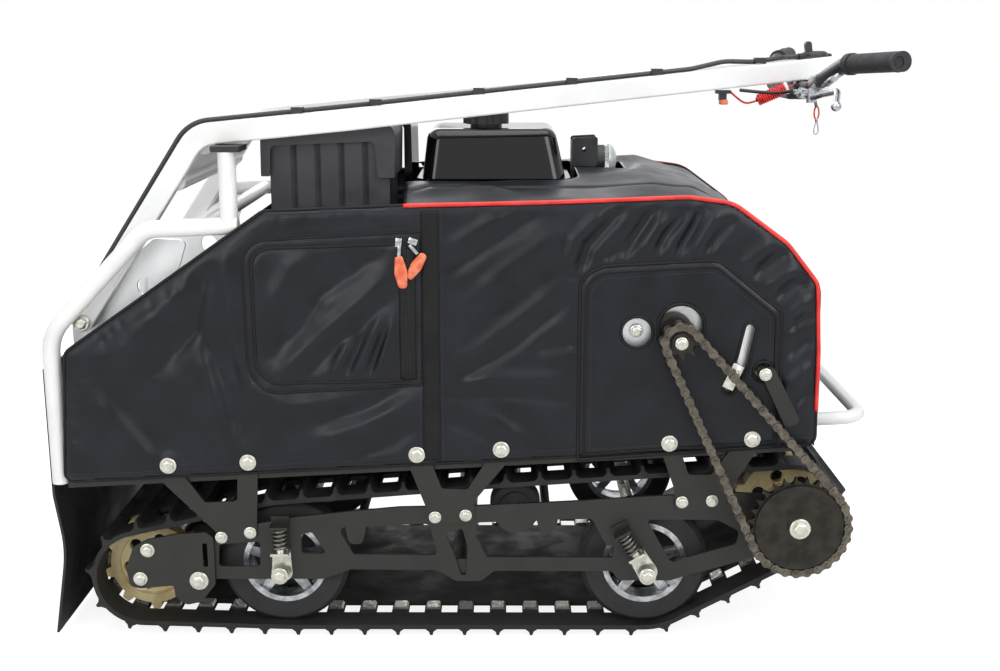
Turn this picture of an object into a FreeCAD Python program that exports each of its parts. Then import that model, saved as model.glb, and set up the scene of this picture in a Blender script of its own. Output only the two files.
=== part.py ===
"""Tracked snow towing vehicle: one rubber track under a covered body, with a folding drawbar.

Frame: millimetres, +X is the driving direction, +Y is the machine's left side, +Z is up.
Ground is Z = 0. The finished pieces are moved along X at the end, so that the origin lies
under the middle of the whole machine.
"""
import FreeCAD
import Part
import math
import os

from FreeCAD import Vector

# ---------------------------------------------------------------- driving dimensions
# Track: one closed rubber belt with cross lugs, windows for the drive teeth and steel clips.
TRACK_WIDTH = 500.0
BELT_THICKNESS = 7.0
LUG_HEIGHT = 12.0
LUG_PITCH = 50.5
LUG_COUNT = 48
LUG_BASE = 17.0
LUG_TIP = 4.0
LUG_BEVEL = 5.0
LUG_AT_X = -35.9
WINDOW_LENGTH = 25.0
WINDOW_WIDTH = 39.0
WINDOW_Y = 185.0
CLIP_LENGTH = 23.0
CLIP_WIDTH = 24.0
CLIP_THICKNESS = 3.0

# Toothed wheels that carry the belt ends.
WHEEL_TEETH = 9
TOOTHED_WHEEL_WIDTH = 24.0
TOOTHED_WHEEL_Y = 181.0
CLIP_CLEARANCE = 1.5
TOOTH_ROOT_WIDTH = 17.0
TOOTH_TIP_WIDTH = 11.0
IDLER_LIFT = 6.0

# Road wheels and return rollers.
ROAD_WHEEL_RADIUS = 96.0
ROAD_WHEEL_WIDTH = 44.0
ROAD_WHEEL_Y = 216.0
RIM_RADIUS = 63.0
RIM_WALL = 6.0
RIM_HUB_RADIUS = 22.0
SPOKES = 5
SPOKE_WIDTH = 16.0
REAR_WHEEL_X = -255.0
FRONT_WHEEL_X = 285.0
ROLLER_RADIUS = 38.0
ROLLER_WIDTH = 38.0
ROLLER_X = 91.0
ROLLER_Z = 201.0
ROLLER_CAP_RADIUS = 26.4
BELT_GAP = 0.3

# Drive axle.
DRIVE_X = 499.0
DRIVE_Z = 198.0
SHAFT_RADIUS = 15.0
AXLE_RADIUS = 10.0

# Side frames: flat plates outside the belt.
SIDE_INNER_Y = 257.0
SIDE_PLATE = 5.0
HANGER_PLATE = 4.0
ARM_PLATE = 5.0
CROSS_ROD_RADIUS = 7.0
CROSS_RODS = ((-145.0, 167.0), (138.0, 181.0))
CROSS_TUBE_RADIUS = 17.0
CROSS_TUBE_X = 12.0
CROSS_TUBE_Z = 112.0

# Deck: shallow steel tray, pitched nose up.
DECK_PITCH = 3.1
DECK_BOLT_Z = 302.0
DECK_FLOOR_DROP = 30.0
DECK_WALL_RISE = 22.0
DECK_SHEET = 3.0
DECK_REAR_X = -564.5
DECK_FRONT_X = 508.0

# Fabric cover.
COVER_GAP = 1.0
COVER_SKIN = 8.0

# Pieces that stand out of the cover.
CAP_PLACE = (46.5, -60.0)
CAP_RADIUS = 35.0
CAP_LOBES = 9
TANK_SEAM_Z = 676.0
FILTER_PLEATS = 4
LAMP_X = (202.0, 232.0)
LAMP_Z = 697.0
LAMP_RADIUS = 22.0

# Chain drive: 5/8 inch roller chain.
CHAIN_PITCH = 15.875
CHAIN_LINKS = 60
CHAIN_Y = -300.0
CHAIN_ROLLER = 10.16
CHAIN_INNER_WIDTH = 9.65
CHAIN_PIN = 5.08
CHAIN_PLATE = 1.6
CHAIN_PLATE_GAP = 0.3
CHAIN_PLATE_HEIGHT = 13.0
CHAIN_WAIST = 9.0
PIN_PLAY = 0.06
SEAT_PLAY = 0.15
SPROCKET_TEETH = 28
PINION_TEETH = 9
TOOTH_WIDTH = 9.0
TIP_FACTOR = 0.6
HUB_DISC = 4.0
PINION_HEAD = 14.0
PINION_SHAFT = 9.0
CHAIN_LEAN = 33.1

# Rear guard frame.
GUARD_TUBE = 12.5
GUARD_Y = 254.0
GUARD_POST_X = -312.0
PAD_THICKNESS = 8.0
PAD_GAP = 0.5

# Front bumper.
BUMPER_TUBE = 10.0
BUMPER_Y = 215.0

# Hitch and flap.
HITCH_Z = 330.0
HITCH_WIDTH = 44.0
HITCH_PIN_X = -632.0
HITCH_PIN_RADIUS = 8.0
FLAP_THICKNESS = 4.0

# Drawbar.
PIVOT_X = -536.0
PIVOT_Z = 484.0
PIVOT_RADIUS = 8.0
PIVOT_PLAY = 0.05
PIVOT_GAP = 2.0
DRAWBAR_TUBE = 30.0
DRAWBAR_WALL_WIDTH = 25.0
DRAWBAR_LEG_Y = 222.0
DRAWBAR_KNEE = (-358.0, 752.0)
DRAWBAR_END = (578.0, 843.5)
DRAWBAR_BEND = 50.0
DRAWBAR_SPLAY_X = -150.0
DRAWBAR_NOSE_Y = 60.0

# Handlebar.
BAR_RADIUS = 11.0
GRIP_RADIUS = 13.5
GRIP_LENGTH = 118.0
BAR_X = 520.0
BAR_Z = 811.0
BAR_HALF = 345.0
NOSE_X = 552.0
PERCH_ALONG = 36.0

# Controls and cords on the drawbar.
CABLE_RADIUS = 3.5
CABLE_LIFT = 0.5
CLIP_PLACES = (-216, -107, 38, 172, 298, 455)
BRAKE_CABLE_RADIUS = 2.5
SWITCH_X = 400.0
LANYARD_RADIUS = 1.5
COIL_RADIUS = 9.0
COIL_START = (449.0, -100.0, 793.0)
COIL_END = (498.5, -102.0, 814.2)
LEG_SLOT = ((-457.0, 572.0), (-481.0, 535.0))
LEG_SLOT_RADIUS = 6.0
LEG_SLOT_DEPTH = 2.5

OUT = "parts"


# ---------------------------------------------------------------- drawing helpers
def point(x, y, z):
    return Vector(x, y, z)


def deck_z(x):
    """Height of the row of deck bolts at x."""
    return DECK_BOLT_Z + x * math.tan(math.radians(DECK_PITCH))


def box(x0, x1, y0, y1, z0, z1):
    low = (min(x0, x1), min(y0, y1), min(z0, z1))
    return Part.makeBox(abs(x1 - x0), abs(y1 - y0), abs(z1 - z0), point(*low))


def rod_y(x, z, radius, y0, y1):
    """Cylinder along Y."""
    low = min(y0, y1)
    return Part.makeCylinder(radius, abs(y1 - y0), point(x, low, z), point(0, 1, 0))


def rod(start, end, radius):
    axis = end.sub(start)
    return Part.makeCylinder(radius, axis.Length, start, axis)


def rounded_wire(corners, y):
    """Closed XZ outline at y. Each corner is (x, z) or (x, z, radius)."""
    count = len(corners)
    edges = []
    starts = []
    ends = []
    arcs = []
    for i, corner in enumerate(corners):
        here = point(corner[0], y, corner[1])
        radius = corner[2] if len(corner) > 2 else 0.0
        before = corners[i - 1]
        after = corners[(i + 1) % count]
        back = point(before[0], y, before[1]).sub(here)
        ahead = point(after[0], y, after[1]).sub(here)
        back.normalize()
        ahead.normalize()
        if radius <= 0.0:
            starts.append(here)
            ends.append(here)
            arcs.append(None)
            continue
        half = back.getAngle(ahead) / 2.0
        reach = radius / math.tan(half)
        bisector = back.add(ahead)
        bisector.normalize()
        centre = here.add(bisector * (radius / math.sin(half)))
        start = here.add(back * reach)
        end = here.add(ahead * reach)
        middle = centre.sub(bisector * radius)
        starts.append(start)
        ends.append(end)
        arcs.append(Part.Arc(start, middle, end).toShape())
    for i in range(count):
        if arcs[i] is not None:
            edges.append(arcs[i])
        nxt = (i + 1) % count
        if ends[i].distanceToPoint(starts[nxt]) > 1e-6:
            edges.append(Part.LineSegment(ends[i], starts[nxt]).toShape())
    return Part.Wire(edges)


def plate(corners, y0, y1, cuts=()):
    """Flat plate parallel to XZ between y0 and y1, with solids cut away."""
    low = min(y0, y1)
    face = Part.Face(rounded_wire(corners, low))
    solid = face.extrude(point(0, abs(y1 - y0), 0))
    for tool in cuts:
        solid = solid.cut(tool)
    return solid


def hole(x, z, radius):
    return rod_y(x, z, radius, -400.0, 400.0)


def window(corners):
    """Cutting prism through every plate of one outline."""
    return plate(corners, -400.0, 400.0)


def bent_path(points, radii):
    """Straight runs joined by tangent arcs. radii has one value for each inner point."""
    edges = []
    last = points[0]
    for i in range(1, len(points) - 1):
        here = points[i]
        back = points[i - 1].sub(here)
        ahead = points[i + 1].sub(here)
        back.normalize()
        ahead.normalize()
        half = back.getAngle(ahead) / 2.0
        radius = radii[i - 1]
        reach = radius / math.tan(half)
        bisector = back.add(ahead)
        bisector.normalize()
        centre = here.add(bisector * (radius / math.sin(half)))
        start = here.add(back * reach)
        end = here.add(ahead * reach)
        if last.distanceToPoint(start) > 1e-6:
            edges.append(Part.LineSegment(last, start).toShape())
        edges.append(Part.Arc(start, centre.sub(bisector * radius), end).toShape())
        last = end
    edges.append(Part.LineSegment(last, points[-1]).toShape())
    return Part.Wire(edges)


def level_ring(x0, x1, y0, y1, radius, z):
    """Rounded rectangle that lies flat at height z."""
    ring = rounded_wire([(x0, -y1, radius), (x1, -y1, radius), (x1, -y0, radius), (x0, -y0, radius)], 0.0)
    ring.rotate(point(0, 0, 0), point(1, 0, 0), 90.0)
    ring.translate(point(0, 0, z))
    return ring


def sweep(path, profile):
    shell = Part.BRepOffsetAPI.MakePipeShell(path)
    shell.add(profile)
    shell.setTransitionMode(0)
    shell.build()
    shell.makeSolid()
    return shell.shape()


def round_tube(points, radii, radius):
    path = bent_path(points, radii)
    direction = points[1].sub(points[0])
    profile = Part.Wire([Part.makeCircle(radius, points[0], direction)])
    return sweep(path, profile)


def rect_profile(centre, direction, width, height, corner):
    """Rounded rectangle across direction, with its width along Y as near as can be."""
    ahead = Vector(direction)
    ahead.normalize()
    side = point(0, 1, 0).sub(ahead * ahead.y)
    side.normalize()
    up = ahead.cross(side)
    edges = []
    spots = [(1, 1), (-1, 1), (-1, -1), (1, -1)]
    half_w = width / 2.0
    half_h = height / 2.0

    def spot(a, b):
        return centre.add(side * a).add(up * b)

    for i, (a, b) in enumerate(spots):
        c, d = spots[(i + 1) % 4]
        if a == c:
            start = spot(a * half_w, b * (half_h - corner))
            end = spot(c * half_w, d * (half_h - corner))
        else:
            start = spot(a * (half_w - corner), b * half_h)
            end = spot(c * (half_w - corner), d * half_h)
        edges.append(Part.LineSegment(start, end).toShape())
        e, f = spots[(i + 2) % 4]
        knee = spot(c * (half_w - corner), d * (half_h - corner))
        out_side = side * (c * corner)
        out_up = up * (d * corner)
        first = knee.add(out_side) if a == c else knee.add(out_up)
        final = knee.add(out_up) if a == c else knee.add(out_side)
        diagonal = side * c + up * d
        diagonal.normalize()
        edges.append(Part.Arc(first, knee.add(diagonal * corner), final).toShape())
    return Part.Wire(edges)


def rect_tube(points, radii, width, height, corner=3.0):
    path = bent_path(points, radii)
    profile = rect_profile(points[0], points[1].sub(points[0]), width, height, corner)
    return sweep(path, profile)


def turned(shape, x, z, degrees):
    """Copy of a shape drawn about the Y axis, turned from +X towards +Z and moved to (x, z)."""
    place = FreeCAD.Placement(point(x, 0, z), FreeCAD.Rotation(point(0, 1, 0), -degrees))
    copy = shape.copy()
    copy.Placement = place.multiply(copy.Placement)
    return copy


def mirrored(shape):
    return shape.mirror(point(0, 0, 0), point(0, 1, 0))


def pair(shape):
    """The piece and its mirror image on the other side."""
    return [shape, mirrored(shape)]


# ---------------------------------------------------------------- track path
def neutral_radius():
    return WHEEL_TEETH * LUG_PITCH / (2.0 * math.pi)


def wheel_belt_radius():
    """Radius of the belt's inner face on the toothed wheels."""
    return neutral_radius() - BELT_THICKNESS / 2.0


def ground_z():
    """Height of the belt's inner face on the ground run."""
    return LUG_HEIGHT + BELT_THICKNESS


def belt_circles(idler_x):
    """The circles the belt's inner face runs round, counter-clockwise seen from the right."""
    end_radius = wheel_belt_radius()
    wheel_z = ground_z() + ROAD_WHEEL_RADIUS
    rear_wheel = (REAR_WHEEL_X, wheel_z, ROAD_WHEEL_RADIUS)
    return [
        (idler_x, ground_z() + IDLER_LIFT + end_radius, end_radius),
        rear_wheel,
        (FRONT_WHEEL_X, wheel_z, ROAD_WHEEL_RADIUS),
        (DRIVE_X, DRIVE_Z, end_radius),
        (ROLLER_X, ROLLER_Z, ROLLER_RADIUS),
        rear_wheel,
    ]


def belt_pieces(idler_x, offset):
    """Straight runs and arcs of the belt at offset from its inner face.

    Each item is ("line", start, end) or ("arc", centre, radius, from_angle, to_angle).
    """
    circles = [(x, z, r + offset) for x, z, r in belt_circles(idler_x)]
    count = len(circles)
    normals = []
    for i, (x0, z0, r0) in enumerate(circles):
        x1, z1, r1 = circles[(i + 1) % count]
        dx, dz = x1 - x0, z1 - z0
        length = math.hypot(dx, dz)
        heading = math.atan2(dz, dx)
        normals.append(heading - math.acos((r0 - r1) / length))
    pieces = []
    for i, (x0, z0, r0) in enumerate(circles):
        x1, z1, r1 = circles[(i + 1) % count]
        angle = normals[i]
        start = (x0 + r0 * math.cos(angle), z0 + r0 * math.sin(angle))
        end = (x1 + r1 * math.cos(angle), z1 + r1 * math.sin(angle))
        pieces.append(("line", start, end))
        following = normals[(i + 1) % count]
        while following < angle:
            following += 2.0 * math.pi
        pieces.append(("arc", (x1, z1), r1, angle, following))
    return pieces


def pieces_length(pieces):
    total = 0.0
    for piece in pieces:
        if piece[0] == "line":
            total += math.dist(piece[1], piece[2])
        else:
            total += piece[2] * (piece[4] - piece[3])
    return total


def solve_idler_x():
    """Idler position that gives the belt exactly LUG_COUNT pitches."""
    target = LUG_COUNT * LUG_PITCH
    near, far = REAR_WHEEL_X - 60.0, REAR_WHEEL_X - 900.0
    for _ in range(60):
        middle = (near + far) / 2.0
        if pieces_length(belt_pieces(middle, BELT_THICKNESS / 2.0)) < target:
            near = middle
        else:
            far = middle
    return (near + far) / 2.0


IDLER_X = solve_idler_x()
IDLER_Z = ground_z() + IDLER_LIFT + wheel_belt_radius()
ROAD_WHEEL_Z = ground_z() + ROAD_WHEEL_RADIUS


def loop_wire(offset, y):
    edges = []
    for piece in belt_pieces(IDLER_X, offset):
        if piece[0] == "line":
            (x0, z0), (x1, z1) = piece[1], piece[2]
            edges.append(Part.LineSegment(point(x0, y, z0), point(x1, y, z1)).toShape())
        else:
            (cx, cz), radius, a0, a1 = piece[1:]
            spots = []
            for angle in (a0, (a0 + a1) / 2.0, a1):
                spots.append(point(cx + radius * math.cos(angle), y, cz + radius * math.sin(angle)))
            edges.append(Part.Arc(*spots).toShape())
    return Part.Wire(edges)


def loop_spot(distance):
    """Place on the belt's outer face at a distance along its neutral line.

    Returns (x, z, outward angle).
    """
    offset = BELT_THICKNESS / 2.0
    pieces = belt_pieces(IDLER_X, offset)
    distance = distance % pieces_length(pieces)
    for piece in pieces:
        if piece[0] == "line":
            length = math.dist(piece[1], piece[2])
            if distance <= length:
                share = distance / length
                (x0, z0), (x1, z1) = piece[1], piece[2]
                x, z = x0 + (x1 - x0) * share, z0 + (z1 - z0) * share
                outward = math.atan2(z1 - z0, x1 - x0) - math.pi / 2.0
                return x + offset * math.cos(outward), z + offset * math.sin(outward), outward
            distance -= length
        else:
            (cx, cz), radius, a0, a1 = piece[1:]
            length = radius * (a1 - a0)
            if distance <= length:
                angle = a0 + distance / radius
                reach = radius + offset
                return cx + reach * math.cos(angle), cz + reach * math.sin(angle), angle
            distance -= length
    raise ValueError("distance is past the end of the loop")


def ground_distance(x):
    """Distance along the neutral line to a place under the road wheels."""
    pieces = belt_pieces(IDLER_X, BELT_THICKNESS / 2.0)
    return pieces_length(pieces[:2]) + x - REAR_WHEEL_X


def lug_distance(i):
    return ground_distance(LUG_AT_X) + i * LUG_PITCH


def window_distance(i):
    return lug_distance(i + 0.5)


def on_loop(shape, distance):
    """Copy of shape set on the belt. It is drawn with X outward from the outer face and Z along."""
    x, z, outward = loop_spot(distance)
    return turned(shape, x, z, math.degrees(outward))


# ---------------------------------------------------------------- running gear
def belt_band(low, high):
    """Closed band between two offsets from the belt's inner face."""
    half = TRACK_WIDTH / 2.0
    outer = Part.Face(loop_wire(high, -half)).extrude(point(0, TRACK_WIDTH, 0))
    inner = Part.Face(loop_wire(low, -half)).extrude(point(0, TRACK_WIDTH, 0))
    return outer.cut(inner)


def lug():
    """One bell-shaped cross lug with bevelled ends."""
    half = TRACK_WIDTH / 2.0
    base, tip = LUG_BASE / 2.0, LUG_TIP / 2.0
    root = -2.0
    flare = LUG_HEIGHT / 3.0
    bar = plate([(root, -base), (0.5, -base, 0.6), (flare, -tip - 1.2, 5.0), (LUG_HEIGHT, -tip, 1.0),
                 (LUG_HEIGHT, tip, 1.0), (flare, tip + 1.2, 5.0), (0.5, base, 0.6), (root, base)], -half, half)
    for side in (-1, 1):
        corner = [point(LUG_HEIGHT + 1.0, side * (half - LUG_BEVEL - 1.0), -base - 1.0),
                  point(LUG_HEIGHT + 1.0, side * (half + 1.0), -base - 1.0),
                  point(LUG_HEIGHT - LUG_BEVEL - 3.0, side * (half + 1.0), -base - 1.0)]
        wedge = Part.Face(Part.makePolygon(corner + [corner[0]])).extrude(point(0, 0, LUG_BASE + 2.0))
        bar = bar.cut(wedge)
    return bar


def track_belt():
    """Belt with its lugs, and the windows that the wheels' teeth drop into."""
    bar = lug()
    lugs = [on_loop(bar, lug_distance(i)) for i in range(LUG_COUNT)]
    body = belt_band(0.0, BELT_THICKNESS).multiFuse(lugs)
    half = WINDOW_LENGTH / 2.0
    side = WINDOW_WIDTH / 2.0
    opening = box(-2.0 * BELT_THICKNESS, 2.0, WINDOW_Y - side, WINDOW_Y + side, -half, half)
    both = Part.makeCompound(pair(opening))
    windows = [on_loop(both, window_distance(i)) for i in range(LUG_COUNT)]
    return body.cut(Part.makeCompound(windows)).removeSplitter()


def track_clips():
    """Steel clips on the bars between the windows, where the toothed wheels run."""
    band = belt_band(-CLIP_THICKNESS, 0.0)
    half, tip = CLIP_LENGTH / 2.0, CLIP_LENGTH / 2.0 - CLIP_THICKNESS
    inner = -BELT_THICKNESS
    side = plate([(inner + 1.0, -half), (inner, -half), (inner - CLIP_THICKNESS - 1.0, -tip),
                  (inner - CLIP_THICKNESS - 1.0, tip), (inner, half), (inner + 1.0, half)],
                 TOOTHED_WHEEL_Y - CLIP_WIDTH / 2.0, TOOTHED_WHEEL_Y + CLIP_WIDTH / 2.0)
    both = Part.makeCompound(pair(side))
    tools = [on_loop(both, lug_distance(i)) for i in range(LUG_COUNT)]
    return band.common(Part.makeCompound(tools)).Solids


def tooth_angle(x, z):
    """Angle of one belt window on the wheel at (x, z)."""
    reach = wheel_belt_radius() + BELT_THICKNESS
    for i in range(LUG_COUNT):
        sx, sz, outward = loop_spot(window_distance(i))
        if abs(math.hypot(sx - x, sz - z) - reach) < 0.01:
            return outward
    raise ValueError("no window of the belt lies on this wheel")


def toothed_wheel(x, z, side):
    """Polymer wheel with a tooth for every window. It turns inside the belt, clear of the clips."""
    rim = wheel_belt_radius() - CLIP_THICKNESS - CLIP_CLEARANCE
    half = TOOTHED_WHEEL_WIDTH / 2.0
    mid = TOOTHED_WHEEL_Y
    hub = SHAFT_RADIUS + 11.0
    body = revolve_y([
        (SHAFT_RADIUS, mid - half - 3.0), (hub, mid - half - 3.0), (hub, mid - 5.0), (rim - 15.0, mid - 5.0),
        (rim - 13.0, mid - half), (rim, mid - half), (rim, mid + half), (rim - 13.0, mid + half),
        (rim - 15.0, mid + 5.0), (hub, mid + 5.0), (hub, mid + half + 3.0), (SHAFT_RADIUS, mid + half + 3.0),
    ], x, z, side)
    tip = wheel_belt_radius() + BELT_THICKNESS - 1.5
    low, high = TOOTH_ROOT_WIDTH / 2.0, TOOTH_TIP_WIDTH / 2.0
    tooth = plate([(rim - 3.0, -low), (rim + 1.0, -low), (tip, -high, 2.5), (tip, high, 2.5), (rim + 1.0, low),
                   (rim - 3.0, low)], side * (mid - half), side * (mid + half))
    relief = hole((hub + rim - 15.0) / 2.0, 0.0, (rim - 15.0 - hub) / 2.0 - 2.0)
    first = math.degrees(tooth_angle(x, z))
    teeth = []
    reliefs = []
    for i in range(WHEEL_TEETH):
        teeth.append(turned(tooth, x, z, first + i * 360.0 / WHEEL_TEETH))
    for i in range(6):
        reliefs.append(turned(relief, x, z, first + 20.0 + i * 60.0))
    return body.multiFuse(teeth).cut(Part.makeCompound(reliefs))


def idler_wheels():
    return [toothed_wheel(IDLER_X, IDLER_Z, side) for side in (-1, 1)]


def drive_wheels():
    return [toothed_wheel(DRIVE_X, DRIVE_Z, side) for side in (-1, 1)]


def road_wheel_places():
    for x in (REAR_WHEEL_X, FRONT_WHEEL_X):
        for side in (-1, 1):
            yield x, side


def revolve_y(outline, x, z, side):
    """Turned part about a Y axis. outline is (radius, y from the machine's middle)."""
    spots = [point(x + r, side * y, z) for r, y in outline]
    face = Part.Face(Part.makePolygon(spots + [spots[0]]))
    return face.revolve(point(x, 0, z), point(0, 1, 0), 360.0)


def road_tyres():
    half = ROAD_WHEEL_WIDTH / 2.0
    radius = ROAD_WHEEL_RADIUS - BELT_GAP
    shoulder = 7.0
    outline = [
        (RIM_RADIUS, ROAD_WHEEL_Y - half), (radius - shoulder, ROAD_WHEEL_Y - half),
        (radius, ROAD_WHEEL_Y - half + shoulder), (radius, ROAD_WHEEL_Y + half - shoulder),
        (radius - shoulder, ROAD_WHEEL_Y + half), (RIM_RADIUS, ROAD_WHEEL_Y + half),
    ]
    return [revolve_y(outline, x, ROAD_WHEEL_Z, side) for x, side in road_wheel_places()]


def road_rim(x, side):
    """Cast rim: hub, five tapered spokes near the outer face, and a ring."""
    half = ROAD_WHEEL_WIDTH / 2.0
    mid = ROAD_WHEEL_Y
    bed = RIM_RADIUS - RIM_WALL
    ring = revolve_y([
        (bed - 2.0, mid - half), (RIM_RADIUS, mid - half), (RIM_RADIUS, mid + half), (bed - 2.0, mid + half),
        (bed, mid + half - 6.0), (bed, mid - half + 6.0),
    ], x, ROAD_WHEEL_Z, side)
    hub = revolve_y([
        (AXLE_RADIUS, mid - half - 2.0), (RIM_HUB_RADIUS - 3.0, mid - half - 2.0),
        (RIM_HUB_RADIUS, mid + half - 16.0), (RIM_HUB_RADIUS, mid + half - 5.0),
        (RIM_HUB_RADIUS - 3.0, mid + half - 2.0), (AXLE_RADIUS, mid + half - 2.0),
    ], x, ROAD_WHEEL_Z, side)
    low, high = SPOKE_WIDTH / 2.0 + 1.5, SPOKE_WIDTH / 2.0 - 1.5
    foot = RIM_HUB_RADIUS - 5.0
    spoke = plate([(foot, -low), (bed + 3.0, -high), (bed + 3.0, high), (foot, low)],
                  side * (mid + half - 17.0), side * (mid + half - 7.0))
    spokes = []
    for i in range(SPOKES):
        spokes.append(turned(spoke, x, ROAD_WHEEL_Z, 90.0 + i * 360.0 / SPOKES))
    return ring.multiFuse([hub] + spokes)


def road_rims():
    return [road_rim(x, side) for x, side in road_wheel_places()]


def return_rollers():
    """Rubber rollers under the top run, each with a pressed end cap."""
    half = ROLLER_WIDTH / 2.0
    mid = ROAD_WHEEL_Y
    radius = ROLLER_RADIUS - BELT_GAP
    rollers = []
    for side in (-1, 1):
        rollers.append(revolve_y([
            (AXLE_RADIUS, mid - half), (radius - 2.0, mid - half), (radius, mid - half + 2.0),
            (radius, mid + half - 2.0), (radius - 2.0, mid + half), (ROLLER_CAP_RADIUS, mid + half),
            (ROLLER_CAP_RADIUS - 2.0, mid + half + 4.0), (AXLE_RADIUS, mid + half + 4.0),
        ], ROLLER_X, ROLLER_Z, side))
    return rollers


def axles():
    reach = SIDE_INNER_Y + SIDE_PLATE
    pieces = [rod_y(IDLER_X, IDLER_Z, SHAFT_RADIUS, -reach + SIDE_PLATE, reach - SIDE_PLATE)]
    pieces.append(rod_y(ROLLER_X, ROLLER_Z, AXLE_RADIUS, -SIDE_INNER_Y, SIDE_INNER_Y))
    for x in (REAR_WHEEL_X, FRONT_WHEEL_X):
        pieces.append(rod_y(x, ROAD_WHEEL_Z, AXLE_RADIUS, -reach, reach))
    return pieces


def drive_shaft():
    outer = CHAIN_Y - TOOTH_WIDTH / 2.0 - HUB_DISC - 3.0
    return rod_y(DRIVE_X, DRIVE_Z, SHAFT_RADIUS, outer, SIDE_INNER_Y + SIDE_PLATE + 12.0)


# ---------------------------------------------------------------- side frames
def side_frame(side):
    """Laser-cut plate: upper rail, lower rail, wheel plates and drive bearing end."""
    inner, outer = side * SIDE_INNER_Y, side * (SIDE_INNER_Y + SIDE_PLATE)
    outline = [
        (-362, 152, 4), (-330, 176, 10), (-290, 186, 20), (-227, 197, 40), (-152, 205, 60), (-79, 212, 60),
        (30, 214, 60), (170, 221, 60), (285, 229, 60), (409, 235, 30), (470, 232, 30), (532, 226, 30),
        (538, 176, 30), (495, 150, 20), (438, 132, 20), (379, 114, 20), (348, 106, 20), (322, 97, 12),
        (243, 97, 12), (236, 112, 12), (60, 112, 12), (40, 95.5, 16), (2, 95.5, 16), (-24, 113, 12),
        (-154, 114, 12), (-195, 98.7, 20), (-362, 98.7, 8),
    ]
    rod_x, rod_z = CROSS_RODS[1]
    ear = plate([(rod_x - 17, rod_z + 16), (rod_x - 12, rod_z - 3, 3), (rod_x, rod_z - 16, 9),
                 (rod_x + 12, rod_z - 3, 3), (rod_x + 17, rod_z + 16)], -400.0, 400.0)
    behind_roller = window([
        (34, 188, 4), (156, 193, 30), (204, 194, 6), (226, 152, 4), (236, 153, 3), (237, 133, 4), (48, 134, 5),
        (33, 167, 10),
    ])
    cuts = [
        window([(-348, 153, 5), (-287, 158, 5), (-288, 118, 5), (-350, 119, 5)]),
        window([(-226, 169, 5), (-210, 173, 5), (-188, 138, 4), (-226, 139, 5)]),
        window([(-172, 181, 8), (-36, 186, 8), (-24, 137, 5), (-150, 138, 6)]),
        window([(-13, 171, 4), (13, 179, 4), (20, 150, 20), (18, 105, 3), (10, 106, 3), (1, 137, 14)]),
        behind_roller.cut(hole(ROLLER_X, ROLLER_Z, AXLE_RADIUS + 19.0)).cut(ear),
        window([(284, 193, 4), (388, 193, 10), (422, 175, 10), (418, 155, 8), (348, 134, 30), (322, 125, 5)]),
        hole(DRIVE_X, DRIVE_Z, SHAFT_RADIUS),
        hole(REAR_WHEEL_X, ROAD_WHEEL_Z, AXLE_RADIUS),
        hole(FRONT_WHEEL_X, ROAD_WHEEL_Z, AXLE_RADIUS),
    ]
    body = plate(outline, inner, outer, cuts)
    x, z = CROSS_RODS[0]
    tongue = [(x - 17, z + 22), (x - 10, z - 13, 9), (x + 10, z - 13, 9), (x + 17, z + 22)]
    return body.fuse(plate(tongue, inner, outer)).removeSplitter()


def hanger_brackets():
    """V brackets from the side frame up to the deck wall: rear, middle and front."""
    rear = [(-432, 296, 8), (-280, 303, 8), (-286, 255, 30), (-291, 163, 8), (-343, 155, 8), (-352, 176, 8),
            (-424, 250, 20), (-430, 262, 8)]
    rear_slot = [(-394, 263, 4), (-365, 220, 6), (-317, 222, 6), (-315, 264, 4)]
    middle = [(-72, 312, 8), (90, 320, 8), (88, 292, 8), (72, 274, 8), (31, 223, 14), (30, 189, 8),
              (-37, 187, 8), (-41, 215, 14), (-61, 268, 12), (-70, 286, 8)]
    middle_slot = [(-32, 284, 4), (-17, 242, 6), (21, 241, 6), (48, 284, 4)]
    front = [(294, 328, 8), (452, 337, 8), (452, 314, 8), (438, 296, 10), (416, 259, 20), (405, 236, 12),
             (391, 210, 9), (326, 206, 9), (323, 242, 20), (306, 290, 12), (296, 304, 8)]
    front_slot = [(330, 304, 4), (343, 264, 6), (377, 264, 6), (404, 304, 4)]
    inner = SIDE_INNER_Y + SIDE_PLATE
    pieces = []
    for outline, slot in ((rear, rear_slot), (middle, middle_slot), (front, front_slot)):
        pieces += pair(plate(outline, -inner, -(inner + HANGER_PLATE), [window(slot)]))
    return pieces


def idler_arm(side):
    """Slotted plate that carries the idler axle, outside the end of the side frame."""
    inner = SIDE_INNER_Y + SIDE_PLATE
    outline = [
        (-487, 118, 20), (-474, 151, 14), (-453, 162, 14), (-409, 171, 30), (-366, 174, 4), (-355, 166, 6),
        (-355, 92, 8), (-363, 82, 6), (-377, 64, 10), (-399, 59, 8), (-416, 72, 8), (-417, 90, 4),
        (-468, 85, 6), (-482, 89, 8),
    ]
    slot = window([(-372, 157, 3), (-364.5, 157, 3), (-364.5, 119.5, 3), (-372, 119.5, 3)])
    return plate(outline, side * inner, side * (inner + ARM_PLATE), [slot])


def idler_arms():
    return [idler_arm(side) for side in (-1, 1)]


def cross_members():
    pieces = []
    for x, z in CROSS_RODS:
        pieces.append(rod_y(x, z, CROSS_ROD_RADIUS, -SIDE_INNER_Y, SIDE_INNER_Y))
    pieces.append(rod_y(CROSS_TUBE_X, CROSS_TUBE_Z, CROSS_TUBE_RADIUS, -SIDE_INNER_Y, SIDE_INNER_Y))
    return pieces


SPRING_LEANS = ((REAR_WHEEL_X, 0.0), (FRONT_WHEEL_X, 31.0))
SPRING_BASE = 33.0
SPRING_HEIGHT = 37.0
SPRING_TURNS = 5
SPRING_RADIUS = 9.6
SPRING_WIRE = 2.0
SPRING_Y = SIDE_INNER_Y + SIDE_PLATE + 12.5


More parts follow.
